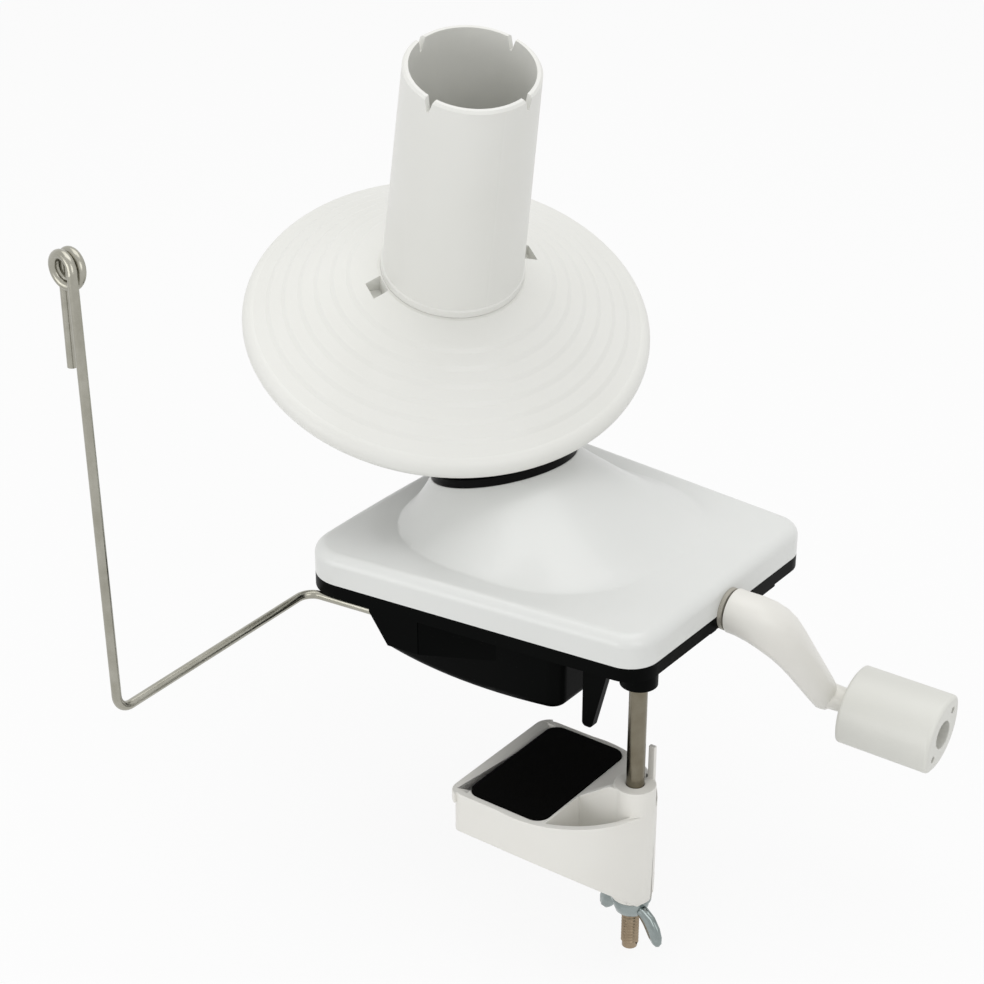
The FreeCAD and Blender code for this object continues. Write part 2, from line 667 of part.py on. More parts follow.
def guide_socket():
    a = leg_point(SOCKET_X0)
    b = a + EDGE_DIR * SOCKET_L
    s = ramp_block(SOCKET_OUT, SOCKET_IN, 0)
    s = s.cut(cyl(WIRE_R + RUN, a - EDGE_DIR * 5, b + EDGE_DIR * 0.5))
    for x, y in SOCKET_SCREWS:
        s = s.cut(cyl(SOCKET_SCREW_R + FIT, V(x, y, 0), V(x, y, RIM_Z + 1)))
    return s


# ---------------------------------------------------------------- crank
K = V(0, math.cos(rad(CRANK_DROP)), -math.sin(rad(CRANK_DROP)))
C = X.cross(K)


def arm_point(x, d):
    return V(x, 0, SEAM_Z) + K * d


def crank_arm():
    rows = [(ARM_X0, 0, 0, ARM_HUB_R, ARM_HUB_R), (84.0, 0, 0, 8.4, 8.2), (89.5, 2.2, 32, 8.8, 8.0),
            (93.5, 9.0, 62, 8.8, 6.6), (95.0, 22.0, 86, 8.0, 5.2), (95.2, 40.0, 90, 7.1, 4.7),
            (95.2, CRANK_RADIUS - 4, 90, 6.3, 4.3)]
    wires = []
    for x, d, ang, a, b in rows:
        t = (X * math.cos(rad(ang)) + K * math.sin(rad(ang))).normalize()
        u = (X * -math.sin(rad(ang)) + K * math.cos(rad(ang))).normalize()
        c = arm_point(x, d)
        pts = []
        for i in range(16):
            th = 2 * math.pi * i / 16
            pts.append(c + C * (a * math.cos(th)) + u * (b * math.sin(th)))
        bs = Part.BSplineCurve()
        bs.interpolate(pts, PeriodicFlag=True)
        wires.append(Part.Wire(bs.toShape()))
    s = Part.makeLoft(wires, True, False)
    end = arm_point(0, CRANK_RADIUS)
    s = s.multiFuse([cyl(6.4, end + X * 90.7, end + X * 99.6), cyl(NECK_R, end + X * 98, end + X * (KNOB_X0 - 0.3))])
    s = s.cut(cyl(CRANK_SHAFT_R + FIT, V(ARM_X0 - 1, 0, SEAM_Z), V(SHAFT_END_X, 0, SEAM_Z)))
    s = s.cut(cyl(PIN_R + FIT, end + X * 85, end + X * 110))
    s = s.cut(cyl(ARM_PIN_R + FIT, V(ARM_PIN_X, 0, SEAM_Z) - C * 12, V(ARM_PIN_X, 0, SEAM_Z) + C * 12))
    return s.removeSplitter()


def crank_gear():
    ratio = CRANK_TEETH / float(PINION_TEETH)
    sb = math.pi / 2 - L
    dp = math.degrees(math.atan2(math.sin(sb), ratio + math.cos(sb)))
    dg = math.degrees(sb) - dp
    cone = CRANK_GEAR_R / math.sin(rad(dg))

    def gear_blank(i, o):
        back = GEAR_BACK_X - Q.x
        hub = GEAR_HUB_X - Q.x
        return [(CRANK_SHAFT_R + FIT, i[1] + 1.2), (i[0] - 1.5, i[1] + 1.2), (i[0], i[1]), (o[0], o[1]),
                (o[0], back), (GEAR_HUB_R, back), (GEAR_HUB_R, hub), (CRANK_SHAFT_R + FIT, hub)]

    def pinion_blank(i, o):
        return [(ROTOR_SHAFT_R + FIT, i[1]), (i[0], i[1]), (o[0], o[1]), (o[0], o[1] + PINION_HUB),
                (ROTOR_SHAFT_R + FIT, o[1] + PINION_HUB)]
    gear = bevel_gear(Q, X, Z * -1, CRANK_TEETH, dg, cone, CRANK_FACE, 0, gear_blank)
    pinion = bevel_gear(Q, A1 * -1, U1, PINION_TEETH, dp, cone, CRANK_FACE, 0.5, pinion_blank)
    gear = gear.cut(cyl(GEAR_PIN_R + FIT, V(GEAR_PIN_X, 0, SEAM_Z - 12), V(GEAR_PIN_X, 0, SEAM_Z + 12)))
    return gear, pinion


def sun_and_planet():
    dsun = math.degrees(math.atan2(math.sin(S), PLANET_TEETH / float(SUN_TEETH) + math.cos(S)))
    dpl = SPINDLE_TILT - dsun

    def sun_blank(i, o):
        base = APEX_UP
        return [(SUN_BORE_R, i[1]), (i[0], i[1]), (o[0], o[1]), (o[0], base - SUN_FLANGE_H),
                (SUN_FLANGE_R, base - SUN_FLANGE_H), (SUN_FLANGE_R, base), (SUN_BORE_R, base)]

    def planet_blank(i, o):
        return [(SPINDLE_R + FIT, i[1] - 0.8), (9.0, i[1] - 0.8), (10.0, i[1] + 3.0), (i[0] - 3.0, i[1] + 3.0),
                (i[0] - 1.6, i[1]), (i[0], i[1]), (o[0], o[1]), (o[0] - 3.5, o[1]), (o[0] - 5.5, i[1] + 6.0),
                (10.0, i[1] + 6.0), (9.0, o[1] - 0.2), (SPINDLE_R + FIT, o[1] - 0.2)]
    sun = bevel_gear(APEX, A1 * -1, W * -1, SUN_TEETH, dsun, SUN_CONE, SUN_FACE, 0.5, sun_blank)
    planet = bevel_gear(APEX, A2 * -1, E2, PLANET_TEETH, dpl, SUN_CONE, SUN_FACE, 0, planet_blank)
    for a in SUN_SCREW_AT:
        p = V(SUN_SCREW_C * math.cos(rad(a)), SUN_SCREW_C * math.sin(rad(a)), 0)
        sun = sun.cut(at_rotor(cyl(SUN_SCREW_R + FIT, p - Z, p + Z * 7)))
    return sun, planet


def rotor_arm():
    slab_ = box(0, APEX_TO_A1 - 2.4, -ARM_HALF, ARM_HALF, ARM_S0, ARM_S1)
    eye = cyl(ARM_EYE_R, V(0, 0, ARM_S0), V(0, 0, ARM_S1 + 1.5))
    s = at_spindle(slab_.fuse(eye))
    hub = at_rotor(cyl(ROTOR_HUB_R, V(0, 0, ROTOR_HUB_H0), V(0, 0, ROTOR_HUB_H1)))
    s = s.fuse(hub)
    s = s.cut(at_spindle(cyl(SPINDLE_BUSH_R + FIT, V(0, 0, ARM_S0 - 1), V(0, 0, ARM_S1 + 3))))
    s = s.cut(at_rotor(cyl(ROTOR_SHAFT_R + FIT, V(0, 0, -5), V(0, 0, ROTOR_SHAFT_TOP))))
    pin = at_rotor(cyl(ROTOR_PIN_R + FIT, V(0, -ROTOR_HUB_R - 4, ROTOR_PIN_H), V(0, ROTOR_HUB_R + 4, ROTOR_PIN_H)))
    return s.cut(pin).removeSplitter()


APEX_TO_A1 = (DISC_DOWN - (ARM_S0 + ARM_S1) / 2) * math.tan(S)


# ---------------------------------------------------------------- disc and tube
def yarn_plate():
    half = DISC_RIM_H / 2
    top = [(DISC_RIM_R, half)]
    run = DISC_RIM_R - SPIGOT_SEAT_R
    slope = (DISC_TOP_S - half - STEP_RISE * len(STEP_RADII)) / run
    r, s = DISC_RIM_R, half
    for k in STEP_RADII:
        s += (r - k) * slope
        top.append((k, s))
        s += STEP_RISE + STEP_RUN * slope
        top.append((k - STEP_RUN, s))
        r = k - STEP_RUN
    top.append((SPIGOT_SEAT_R, DISC_TOP_S))
    inner_r = DISC_RIM_R - DISC_SHELL + 0.5
    pts = [(DISC_RIM_R, -half), (DISC_R, 0, 'arc')] + top
    under = DISC_TOP_S - DISC_SHELL - 0.6
    nut_seat = DISC_TOP_S + HUB_NUT_SEAT
    pts += [(SPIGOT_R, DISC_TOP_S), (SPIGOT_R, DISC_TOP_S + SPIGOT_H), (SPIGOT_R - SPIGOT_WALL, DISC_TOP_S + SPIGOT_H),
            (SPIGOT_R - SPIGOT_WALL, DISC_TOP_S), (HUB_NUT_SEAT_R, DISC_TOP_S), (HUB_NUT_SEAT_R, nut_seat),
            (SPINDLE_R + FIT, nut_seat), (SPINDLE_R + FIT, HUB_LOW_S), (HUB_R, HUB_LOW_S), (HUB_R, under),
            (SPIGOT_SEAT_R, under), (inner_r, half - DISC_SHELL + 0.4), (inner_r, -half)]
    s = lathe(pts)
    for a in WINDOW_AT:
        r0 = TUBE_FOOT_R + 0.5
        floor = DISC_TOP_S - WINDOW_DEPTH
        shell = box(r0 - WINDOW_WALL, r0 + WINDOW_L + WINDOW_WALL, -WINDOW_W / 2 - WINDOW_WALL, WINDOW_W / 2 + WINDOW_WALL,
                    floor - WINDOW_WALL, under + 0.5)
        w = box(r0, r0 + WINDOW_L, -WINDOW_W / 2, WINDOW_W / 2, floor, DISC_TOP_S + 5)
        shell.rotate(V(0, 0, 0), Z, a)
        w.rotate(V(0, 0, 0), Z, a)
        s = s.fuse(shell).cut(w)
    return at_spindle(s.removeSplitter())


def winding_tube():
    s0 = DISC_TOP_S + 0.15
    s1 = s0 + TUBE_LENGTH
    s = lathe([(TUBE_FOOT_R - TUBE_WALL, s0), (TUBE_FOOT_R, s0), (TUBE_FOOT_R, s0 + 2.5), (TUBE_FOOT_R - 0.5, s0 + 3.0),
               (TUBE_TOP_R, s1 - 0.8), (TUBE_TOP_R - 0.8, s1), (TUBE_TOP_R - TUBE_WALL, s1)])
    for a in SLOT_AT:
        v = slab([(TUBE_TOP_R - 8, -SLOT_W / 2, s1 + 0.1), (TUBE_TOP_R - 8, SLOT_W / 2, s1 + 0.1),
                  (TUBE_TOP_R - 8, 0.4, s1 - SLOT_DEPTH), (TUBE_TOP_R - 8, -0.4, s1 - SLOT_DEPTH)], V(16, 0, 0))
        v.rotate(V(0, 0, 0), Z, a + TUBE_TURN)
        s = s.cut(v)
    return at_spindle(s)


# ---------------------------------------------------------------- clamp
def jaw_outline(inset):
    """Tray with curved sides that run round into the rod boss."""
    hx, hy = PAD_L / 2 + TRAY_WALL, PAD_W / 2 + TRAY_WALL
    x0 = JAW_PAD_X - hx - TRAY_STRIP + inset
    x1 = JAW_PAD_X
    y0, y1 = JAW_PAD_Y - hy + inset, JAW_PAD_Y + hy - inset
    r = JAW_BOSS_R - inset
    cb, sb = r * math.cos(rad(JAW_BOSS_TURN)), r * math.sin(rad(JAW_BOSS_TURN))
    xm, hm = JAW_CURVE_X - inset * 0.6, JAW_CURVE_HALF - inset * 0.8
    edges = [Part.LineSegment(V(x0, y1, 0), V(x0, y0, 0)).toShape(),
             Part.LineSegment(V(x0, y0, 0), V(x1, y0, 0)).toShape(),
             Part.Arc(V(x1, y0, 0), V(xm, JAW_PAD_Y - hm, 0), V(ROD_X + cb, ROD_Y - sb, 0)).toShape(),
             Part.Arc(V(ROD_X + cb, ROD_Y - sb, 0), V(ROD_X + r, ROD_Y, 0), V(ROD_X + cb, ROD_Y + sb, 0)).toShape(),
             Part.Arc(V(ROD_X + cb, ROD_Y + sb, 0), V(xm, JAW_PAD_Y + hm, 0), V(x1, y1, 0)).toShape(),
             Part.LineSegment(V(x1, y1, 0), V(x0, y1, 0)).toShape()]
    return Part.Wire(edges)


def clamp_jaw():
    seat = PAD_TOP_Z - PAD_T
    rim = PAD_TOP_Z - PAD_PROUD
    hx, hy = PAD_L / 2 + TRAY_WALL, PAD_W / 2 + TRAY_WALL
    x0 = JAW_PAD_X - hx - TRAY_STRIP
    far = 2 * PAD_W
    s = prism(jaw_outline(0), JAW_LOW_Z, rim)
    ends = [e for e in upright_edges(s) if e.Vertexes[0].Point.x < JAW_PAD_X - 1]
    s = s.makeFillet(PAD_RADIUS, ends)
    # underside: it falls toward the rod boss, and from both sides to the middle
    low = JAW_LOW_Z - PAD_W
    wedge = slab([(x0 - 1, JAW_PAD_Y - far, JAW_TRAY_Z), (x0, JAW_PAD_Y - far, JAW_TRAY_Z),
                  (ROD_X - JAW_BOSS_R, JAW_PAD_Y - far, JAW_LOW_Z), (ROD_X + 20, JAW_PAD_Y - far, JAW_LOW_Z),
                  (ROD_X + 20, JAW_PAD_Y - far, low), (x0 - 1, JAW_PAD_Y - far, low)], V(0, 2 * far, 0))
    s = s.cut(wedge)
    for k in (-1, 1):
        side = slab([(x0 - 1, JAW_PAD_Y + k * far, JAW_TRAY_Z + JAW_KEEL * (far - hy)),
                     (x0 - 1, JAW_PAD_Y, JAW_TRAY_Z - JAW_KEEL * hy),
                     (x0 - 1, JAW_PAD_Y, low), (x0 - 1, JAW_PAD_Y + k * far, low)], V(ROD_X + 20 - x0, 0, 0))
        s = s.cut(side)
    # lip round the end of the tray
    lip = prism(jaw_outline(-LIP_OUT), rim - LIP_H, rim)
    lip = lip.makeFillet(PAD_RADIUS + LIP_OUT, [e for e in upright_edges(lip) if e.Vertexes[0].Point.x < JAW_PAD_X - 1])
    s = s.fuse(lip.common(box(x0 - LIP_OUT - 1, x0 + TRAY_WALL, JAW_PAD_Y - far, JAW_PAD_Y + far, rim - LIP_H, rim)))
    # hollow underside
    boss_bar = cyl(JAW_BOSS_R, V(ROD_X, ROD_Y, JAW_LOW_Z - 2), V(ROD_X, ROD_Y, 0))
    void = prism(jaw_outline(TRAY_WALL), low, seat - TRAY_WALL).cut(boss_bar)
    pocket_x0 = JAW_PAD_X + PAD_L / 2 + JAW_LEDGE
    web_y = ROD_Y - JAW_WEB_OUT
    void = void.cut(box(pocket_x0 - TRAY_WALL, ROD_X + 20, JAW_PAD_Y - far, web_y + TRAY_WALL / 2,
                        seat - JAW_POCKET - TRAY_WALL, 0))
    web = box(x0, ROD_X, ROD_Y - TRAY_WALL / 2, ROD_Y + TRAY_WALL / 2, low, 0)
    s = s.cut(void.cut(web))
    # pad seat with a trough along its far side, the open pocket and its gusset beside the rod boss
    px0 = JAW_PAD_X - PAD_L / 2
    pad = box(px0, JAW_PAD_X + PAD_L / 2, JAW_PAD_Y - PAD_W / 2, JAW_PAD_Y + PAD_W / 2, seat, 0)
    pad = pad.makeFillet(PAD_RADIUS, upright_edges(pad))
    y0 = JAW_PAD_Y - PAD_W / 2
    trough = slab([(x0 + LIP_OUT, y0, rim + 1), (x0 + LIP_OUT, y0, rim), (px0 + 0.5, y0, rim - TROUGH),
                   (px0 + 0.5, y0, rim + 1)], V(0, PAD_W, 0))
    s = s.cut(pad).cut(trough)
    pocket = prism(jaw_outline(TRAY_WALL), seat - JAW_POCKET, rim + 1)
    pocket = pocket.common(box(pocket_x0, ROD_X + 20, JAW_PAD_Y - far, web_y - TRAY_WALL / 2, seat - JAW_POCKET, rim + 1))
    pocket = pocket.cut(boss_bar)
    s = s.cut(pocket)
    boss = cyl(JAW_BOSS_R, V(ROD_X, ROD_Y, JAW_LOW_Z), V(ROD_X, ROD_Y, JAW_BOSS_TOP))
    tab = box(ROD_X + 1.5, ROD_X + 4.0, ROD_Y + JAW_BOSS_R - 2.0, ROD_Y + JAW_BOSS_R - 0.4, rim - LIP_H, JAW_BOSS_TOP + 13)
    gusset = slab([(pocket_x0, web_y - TRAY_WALL / 2, rim - 1), (pocket_x0, web_y - TRAY_WALL / 2, rim),
                   (ROD_X - JAW_BOSS_R + 1, web_y - TRAY_WALL / 2, JAW_BOSS_TOP - 0.5),
                   (ROD_X, web_y - TRAY_WALL / 2, JAW_BOSS_TOP - 0.5), (ROD_X, web_y - TRAY_WALL / 2, rim - 1)],
                  V(0, TRAY_WALL, 0))
    s = s.multiFuse([boss, tab, gusset])
    s = s.cut(cyl(ROD_R + RUN, V(ROD_X, ROD_Y, low), V(ROD_X, ROD_Y, JAW_BOSS_TOP + 1)))
    return s.removeSplitter()


def clamp_rod():
    z = ROD_END_Z
    pts = [(0, z), (ROD_R - 1.0, z), (ROD_R - THREAD_DEPTH, z + 0.8)]
    zz = z + 0.8
    while zz + THREAD_PITCH < THREAD_TOP_Z:
        pts.append((ROD_R, zz + THREAD_PITCH * 0.4))
        pts.append((ROD_R, zz + THREAD_PITCH * 0.6))
        zz += THREAD_PITCH
        pts.append((ROD_R - THREAD_DEPTH, zz))
    pts += [(ROD_R, zz + 0.6), (ROD_R, ROD_SHOULDER_Z), (ROD_TOP_R, ROD_SHOULDER_Z), (ROD_TOP_R, ROD_TOP_Z),
            (0, ROD_TOP_Z)]
    s = lathe(pts)
    s.translate(V(ROD_X, ROD_Y, 0))
    return s


def wing_nut():
    z1 = JAW_LOW_Z - WASHER_T
    z0 = z1 - NUT_HUB_H
    s = lathe([(0, z0), (NUT_HUB_R - 1.6, z0), (NUT_HUB_R, z1 - 2.0), (NUT_HUB_R, z1), (0, z1)])
    wing = [(2.0, z1 - 0.8), (NUT_HUB_R + 0.5, z1 - 0.6), (WING_SPAN - 2.5, z1 - 4.0), (WING_SPAN, z1 - 6.5),
            (WING_SPAN + 0.4, z1 - WING_DROP + 2.2), (WING_SPAN - 1.8, z1 - WING_DROP), (WING_SPAN - 5.0, z1 - WING_DROP + 1.5),
            (NUT_HUB_R - 0.6, z0 + 0.4), (2.0, z0 + 0.4)]
    for k in (0, 180):
        w = slab([(p[0], -WING_T / 2, p[1]) for p in wing], V(0, WING_T, 0))
        w.rotate(V(0, 0, 0), Z, WING_AZIMUTH + k)
        s = s.fuse(w)
    s = s.cut(cyl(ROD_R + RUN, V(0, 0, z0 - 10), V(0, 0, z1 + 10)))
    s.translate(V(ROD_X, ROD_Y, 0))
    return s.removeSplitter()


# ---------------------------------------------------------------- build all
def knob():
    end = arm_point(KNOB_X0, CRANK_RADIUS)
    # a lens with tight round ends: four arcs that run into each other
    reach = KNOB_A - KNOB_TIP
    broad = (reach ** 2 + KNOB_B ** 2 - KNOB_TIP ** 2) / (2 * (KNOB_B - KNOB_TIP))
    g = math.atan2(broad - KNOB_B, reach)
    x, y = reach + KNOB_TIP * math.cos(g), KNOB_TIP * math.sin(g)
    arcs = [(V(x, -y, 0), V(KNOB_A, 0, 0), V(x, y, 0)), (V(x, y, 0), V(0, KNOB_B, 0), V(-x, y, 0)),
            (V(-x, y, 0), V(-KNOB_A, 0, 0), V(-x, -y, 0)), (V(-x, -y, 0), V(0, -KNOB_B, 0), V(x, -y, 0))]
    s = Part.Face(Part.Wire([Part.Arc(*a).toShape() for a in arcs])).extrude(V(0, 0, KNOB_L))
    s = s.makeFillet(KNOB_EDGE, [q for q in s.Edges if abs(q.BoundBox.ZMax - q.BoundBox.ZMin) < 1e-6])
    s = s.cut(cyl(PIN_R + RUN, V(0, 0, -1), V(0, 0, KNOB_L + 1)))
    s = s.cut(cyl(KNOB_RECESS_R, V(0, 0, KNOB_L - KNOB_RECESS), V(0, 0, KNOB_L + 1)))
    for k in (-1, 1):
        s = s.cut(cyl(1.2, V(9.6 * k, 0, KNOB_L - 5), V(9.6 * k, 0, KNOB_L + 1)))
    long = V(0, math.cos(rad(KNOB_TURN)), math.sin(rad(KNOB_TURN)))
    return place(s, end, X, long)


def knob_pin():
    end = arm_point(0, CRANK_RADIUS)
    head = KNOB_X0 + KNOB_L - KNOB_RECESS + 0.2
    s = cyl(PIN_R, end + X * 91.5, end + X * (head + 0.5)).fuse(cyl(4.2, end + X * head, end + X * (head + 2.6)))
    cut = box(head + 1.6, head + 3, -3, 3, -0.45, 0.45).fuse(box(head + 1.6, head + 3, -0.45, 0.45, -3, 3))
    cut.translate(end)
    return s.cut(cut).removeSplitter()


NODES = {}
NODES["base_housing"] = base_housing()
NODES["top_cover"] = top_cover()
NODES["housing_screws"] = Part.Compound([screw(x, y, RIM_Z, SCREW_TOP - 1, SCREW_R, SCREW_HEAD_R, SCREW_HEAD_H) for x, y in SCREW_AT])

# crank group
NODES["crank_wall_bush"] = fuse([
    cyl(BUSH_R, V(CRANK_END_X - 9, 0, SEAM_Z), V(CRANK_END_X, 0, SEAM_Z)),
    cyl(BUSH_FLANGE_R, V(CRANK_END_X + 0.05, 0, SEAM_Z), V(CRANK_END_X + 1.6, 0, SEAM_Z)),
    cyl(BUSH_R, V(CRANK_END_X - 0.1, 0, SEAM_Z), V(CRANK_END_X + 0.2, 0, SEAM_Z))]).cut(
    cyl(CRANK_SHAFT_R + RUN, V(0, 0, SEAM_Z), V(120, 0, SEAM_Z)))
NODES["crank_inner_bush"] = cyl(BUSH_R, V(POST_X0, 0, SEAM_Z), V(POST_X1, 0, SEAM_Z)).cut(
    cyl(CRANK_SHAFT_R + RUN, V(0, 0, SEAM_Z), V(120, 0, SEAM_Z)))
gear, pinion = crank_gear()
NODES["crank_gear"] = gear
shaft = cyl(CRANK_SHAFT_R, V(Q.x + 7.5, 0, SEAM_Z), V(SHAFT_END_X - 0.5, 0, SEAM_Z))
shaft = shaft.cut(cyl(GEAR_PIN_R + FIT, V(GEAR_PIN_X, 0, SEAM_Z - 12), V(GEAR_PIN_X, 0, SEAM_Z + 12)))
shaft = shaft.cut(cyl(ARM_PIN_R + FIT, V(ARM_PIN_X, 0, SEAM_Z) - C * 12, V(ARM_PIN_X, 0, SEAM_Z) + C * 12))
NODES["crank_shaft"] = shaft
NODES["crank_gear_pin"] = cyl(GEAR_PIN_R, V(GEAR_PIN_X, 0, SEAM_Z - GEAR_HUB_R + 0.3), V(GEAR_PIN_X, 0, SEAM_Z + GEAR_HUB_R - 0.3))
NODES["crank_collar"] = cyl(COLLAR_R, V(POST_X1 + 0.3, 0, SEAM_Z), V(POST_X1 + 0.3 + COLLAR_L, 0, SEAM_Z)).cut(
    cyl(CRANK_SHAFT_R + FIT, V(0, 0, SEAM_Z), V(120, 0, SEAM_Z)))
NODES["crank_arm"] = crank_arm()
NODES["crank_arm_pin"] = cyl(ARM_PIN_R, V(ARM_PIN_X, 0, SEAM_Z) - C * 7.6, V(ARM_PIN_X, 0, SEAM_Z) + C * 7.6)
NODES["knob_pin"] = knob_pin()
NODES["knob"] = knob()

# rotor group
bot = -(Q_UP + FOOT_FLOOR) + 0.4
NODES["rotor_foot_bush"] = at_rotor(lathe([
    (ROTOR_SHAFT_R + RUN, -(Q_UP + FOOT_FLOOR)), (FOOT_BUSH_R, -(Q_UP + FOOT_FLOOR)), (FOOT_BUSH_R, -(Q_UP + FOOT_TOP)),
    (ROTOR_SHAFT_R + RUN, -(Q_UP + FOOT_TOP))]))
NODES["rotor_bush"] = at_rotor(lathe([
    (ROTOR_SHAFT_R + RUN, -ROTOR_BUSH_L), (ROTOR_BUSH_R, -ROTOR_BUSH_L), (ROTOR_BUSH_R, 0.03), (ROTOR_BUSH_R + ROTOR_BUSH_RIM, 0.03),
    (ROTOR_BUSH_R + ROTOR_BUSH_RIM, 1.2), (ROTOR_SHAFT_R + RUN, 1.2)]))
NODES["rotor_washer"] = at_rotor(lathe([(ROTOR_SHAFT_R + FIT, 1.25), (7.5, 1.25), (7.5, ROTOR_HUB_H0), (ROTOR_SHAFT_R + FIT, ROTOR_HUB_H0)]))
NODES["rotor_shaft"] = at_rotor(cyl(ROTOR_SHAFT_R, V(0, 0, bot), V(0, 0, ROTOR_SHAFT_TOP - 0.2)).cut(
    cyl(ROTOR_PIN_R + FIT, V(0, -ROTOR_HUB_R - 4, ROTOR_PIN_H), V(0, ROTOR_HUB_R + 4, ROTOR_PIN_H))))
NODES["rotor_pinion"] = pinion
NODES["rotor_arm"] = rotor_arm()
NODES["rotor_arm_pin"] = at_rotor(cyl(ROTOR_PIN_R, V(0, 0.4 - ROTOR_HUB_R, ROTOR_PIN_H), V(0, ROTOR_HUB_R - 0.4, ROTOR_PIN_H)))
sun, planet = sun_and_planet()
NODES["sun_gear"] = sun
NODES["sun_gear_screws"] = Part.Compound([at_rotor(cyl(
    SUN_SCREW_R, V(SUN_SCREW_C * math.cos(rad(a)), SUN_SCREW_C * math.sin(rad(a)), -SEAT_DECK),
    V(SUN_SCREW_C * math.cos(rad(a)), SUN_SCREW_C * math.sin(rad(a)), 6.5))) for a in SUN_SCREW_AT])

# spindle group
NODES["spindle_bush"] = at_spindle(lathe([
    (SPINDLE_R + RUN, ARM_S0), (SPINDLE_BUSH_R, ARM_S0), (SPINDLE_BUSH_R, ARM_S1 + 1.5), (SPINDLE_R + RUN, ARM_S1 + 1.5)]))
NODES["spindle_shaft"] = at_spindle(cyl(SPINDLE_R, V(0, 0, SPINDLE_LOW_S), V(0, 0, DISC_TOP_S + 9)))
NODES["planet_gear"] = planet
NODES["spindle_washer"] = at_spindle(lathe([(SPINDLE_R + FIT, ARM_S1 + 1.7), (7.0, ARM_S1 + 1.7), (7.0, HUB_LOW_S - 0.02), (SPINDLE_R + FIT, HUB_LOW_S - 0.02)]))
NODES["yarn_disc"] = yarn_plate()
NODES["spindle_nut"] = at_spindle(hexagon(6.9, DISC_TOP_S + 3.02, DISC_TOP_S + 7.5).cut(cyl(SPINDLE_R + FIT, V(0, 0, 0), V(0, 0, 60))))
NODES["winding_tube"] = winding_tube()

# yarn guide
wire, G = yarn_guide_wire()
NODES["yarn_guide_wire"] = wire
NODES["guide_socket"] = guide_socket()
NODES["guide_socket_screws"] = Part.Compound([screw(x, y, RIM_Z - SOCKET_H, DECK_Z + 1, SOCKET_SCREW_R, SOCKET_SCREW_HEAD_R, SOCKET_SCREW_HEAD_H) for x, y in SOCKET_SCREWS])

# clamp
NODES["clamp_rod"] = clamp_rod()
_w = lathe([(ROD_TOP_R + FIT, DECK_Z), (ROD_WASHER_R, DECK_Z), (ROD_WASHER_R, NUT_Z - 0.02), (ROD_TOP_R + FIT, NUT_Z - 0.02)])
_w.translate(V(ROD_X, ROD_Y, 0))
NODES["rod_washer"] = _w
_h = hexagon(ROD_NUT_R, NUT_Z, NUT_Z + NUT_H).cut(cyl(ROD_TOP_R + FIT, V(0, 0, 0), V(0, 0, 60)))
_h.translate(V(ROD_X, ROD_Y, 0))
NODES["rod_nut"] = _h
NODES["clamp_jaw"] = clamp_jaw()
pad = box(JAW_PAD_X - PAD_L / 2 + 0.1, JAW_PAD_X + PAD_L / 2 - 0.1, JAW_PAD_Y - PAD_W / 2 + 0.1, JAW_PAD_Y + PAD_W / 2 - 0.1,
          PAD_TOP_Z - PAD_T, PAD_TOP_Z)
NODES["clamp_pad"] = pad.makeFillet(PAD_RADIUS - 0.1, upright_edges(pad))
_v = lathe([(ROD_R + RUN, JAW_LOW_Z - WASHER_T), (7.2, JAW_LOW_Z - WASHER_T), (7.2, JAW_LOW_Z), (ROD_R + RUN, JAW_LOW_Z)])
_v.translate(V(ROD_X, ROD_Y, 0))
NODES["clamp_washer"] = _v
NODES["wing_nut"] = wing_nut()

if __name__ == "__main__":
    os.makedirs("parts", exist_ok=True)
    for name, shape in NODES.items():
        if not shape.isValid():
            print("not valid:", name)
        print("%-22s solids %d volume %9.1f" % (name, len(shape.Solids), shape.Volume))
        shape.exportStep("parts/%s.step" % name)
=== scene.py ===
"""Yarn cone winder: camera, studio light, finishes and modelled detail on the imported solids."""
import bpy
import bmesh
import json
import math
from mathutils import Matrix, Vector


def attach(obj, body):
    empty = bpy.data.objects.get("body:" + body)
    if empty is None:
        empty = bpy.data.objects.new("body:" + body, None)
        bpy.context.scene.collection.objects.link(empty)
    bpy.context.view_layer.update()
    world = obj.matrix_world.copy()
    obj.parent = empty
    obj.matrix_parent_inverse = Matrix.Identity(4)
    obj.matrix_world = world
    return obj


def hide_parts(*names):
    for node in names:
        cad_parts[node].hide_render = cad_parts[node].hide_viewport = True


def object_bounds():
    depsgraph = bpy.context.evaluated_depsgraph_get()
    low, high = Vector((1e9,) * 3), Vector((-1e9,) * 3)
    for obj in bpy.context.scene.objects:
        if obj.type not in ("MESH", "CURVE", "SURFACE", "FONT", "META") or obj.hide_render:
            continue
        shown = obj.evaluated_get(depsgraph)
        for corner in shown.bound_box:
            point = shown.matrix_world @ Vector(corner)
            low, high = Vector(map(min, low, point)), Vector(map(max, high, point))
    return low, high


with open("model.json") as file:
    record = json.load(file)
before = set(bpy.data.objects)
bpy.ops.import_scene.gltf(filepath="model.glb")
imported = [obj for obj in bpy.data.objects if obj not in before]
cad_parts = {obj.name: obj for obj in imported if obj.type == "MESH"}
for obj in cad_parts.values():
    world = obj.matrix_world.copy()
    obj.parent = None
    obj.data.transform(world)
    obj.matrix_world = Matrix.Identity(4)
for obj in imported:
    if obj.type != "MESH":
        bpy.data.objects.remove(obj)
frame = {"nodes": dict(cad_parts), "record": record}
cad_low, cad_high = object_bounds()
nodes = frame["nodes"]
scene = bpy.context.scene
scene.view_settings.view_transform = "Standard"
MM = 0.001
MERGE = 2e-6              # m; vertices nearer than this are one
FLAT_WITHIN = math.radians(0.4)

SOFT = {"clamp_jaw": 0.35, "knob": 0.3, "top_cover": 0.2}     # edge radii, mm

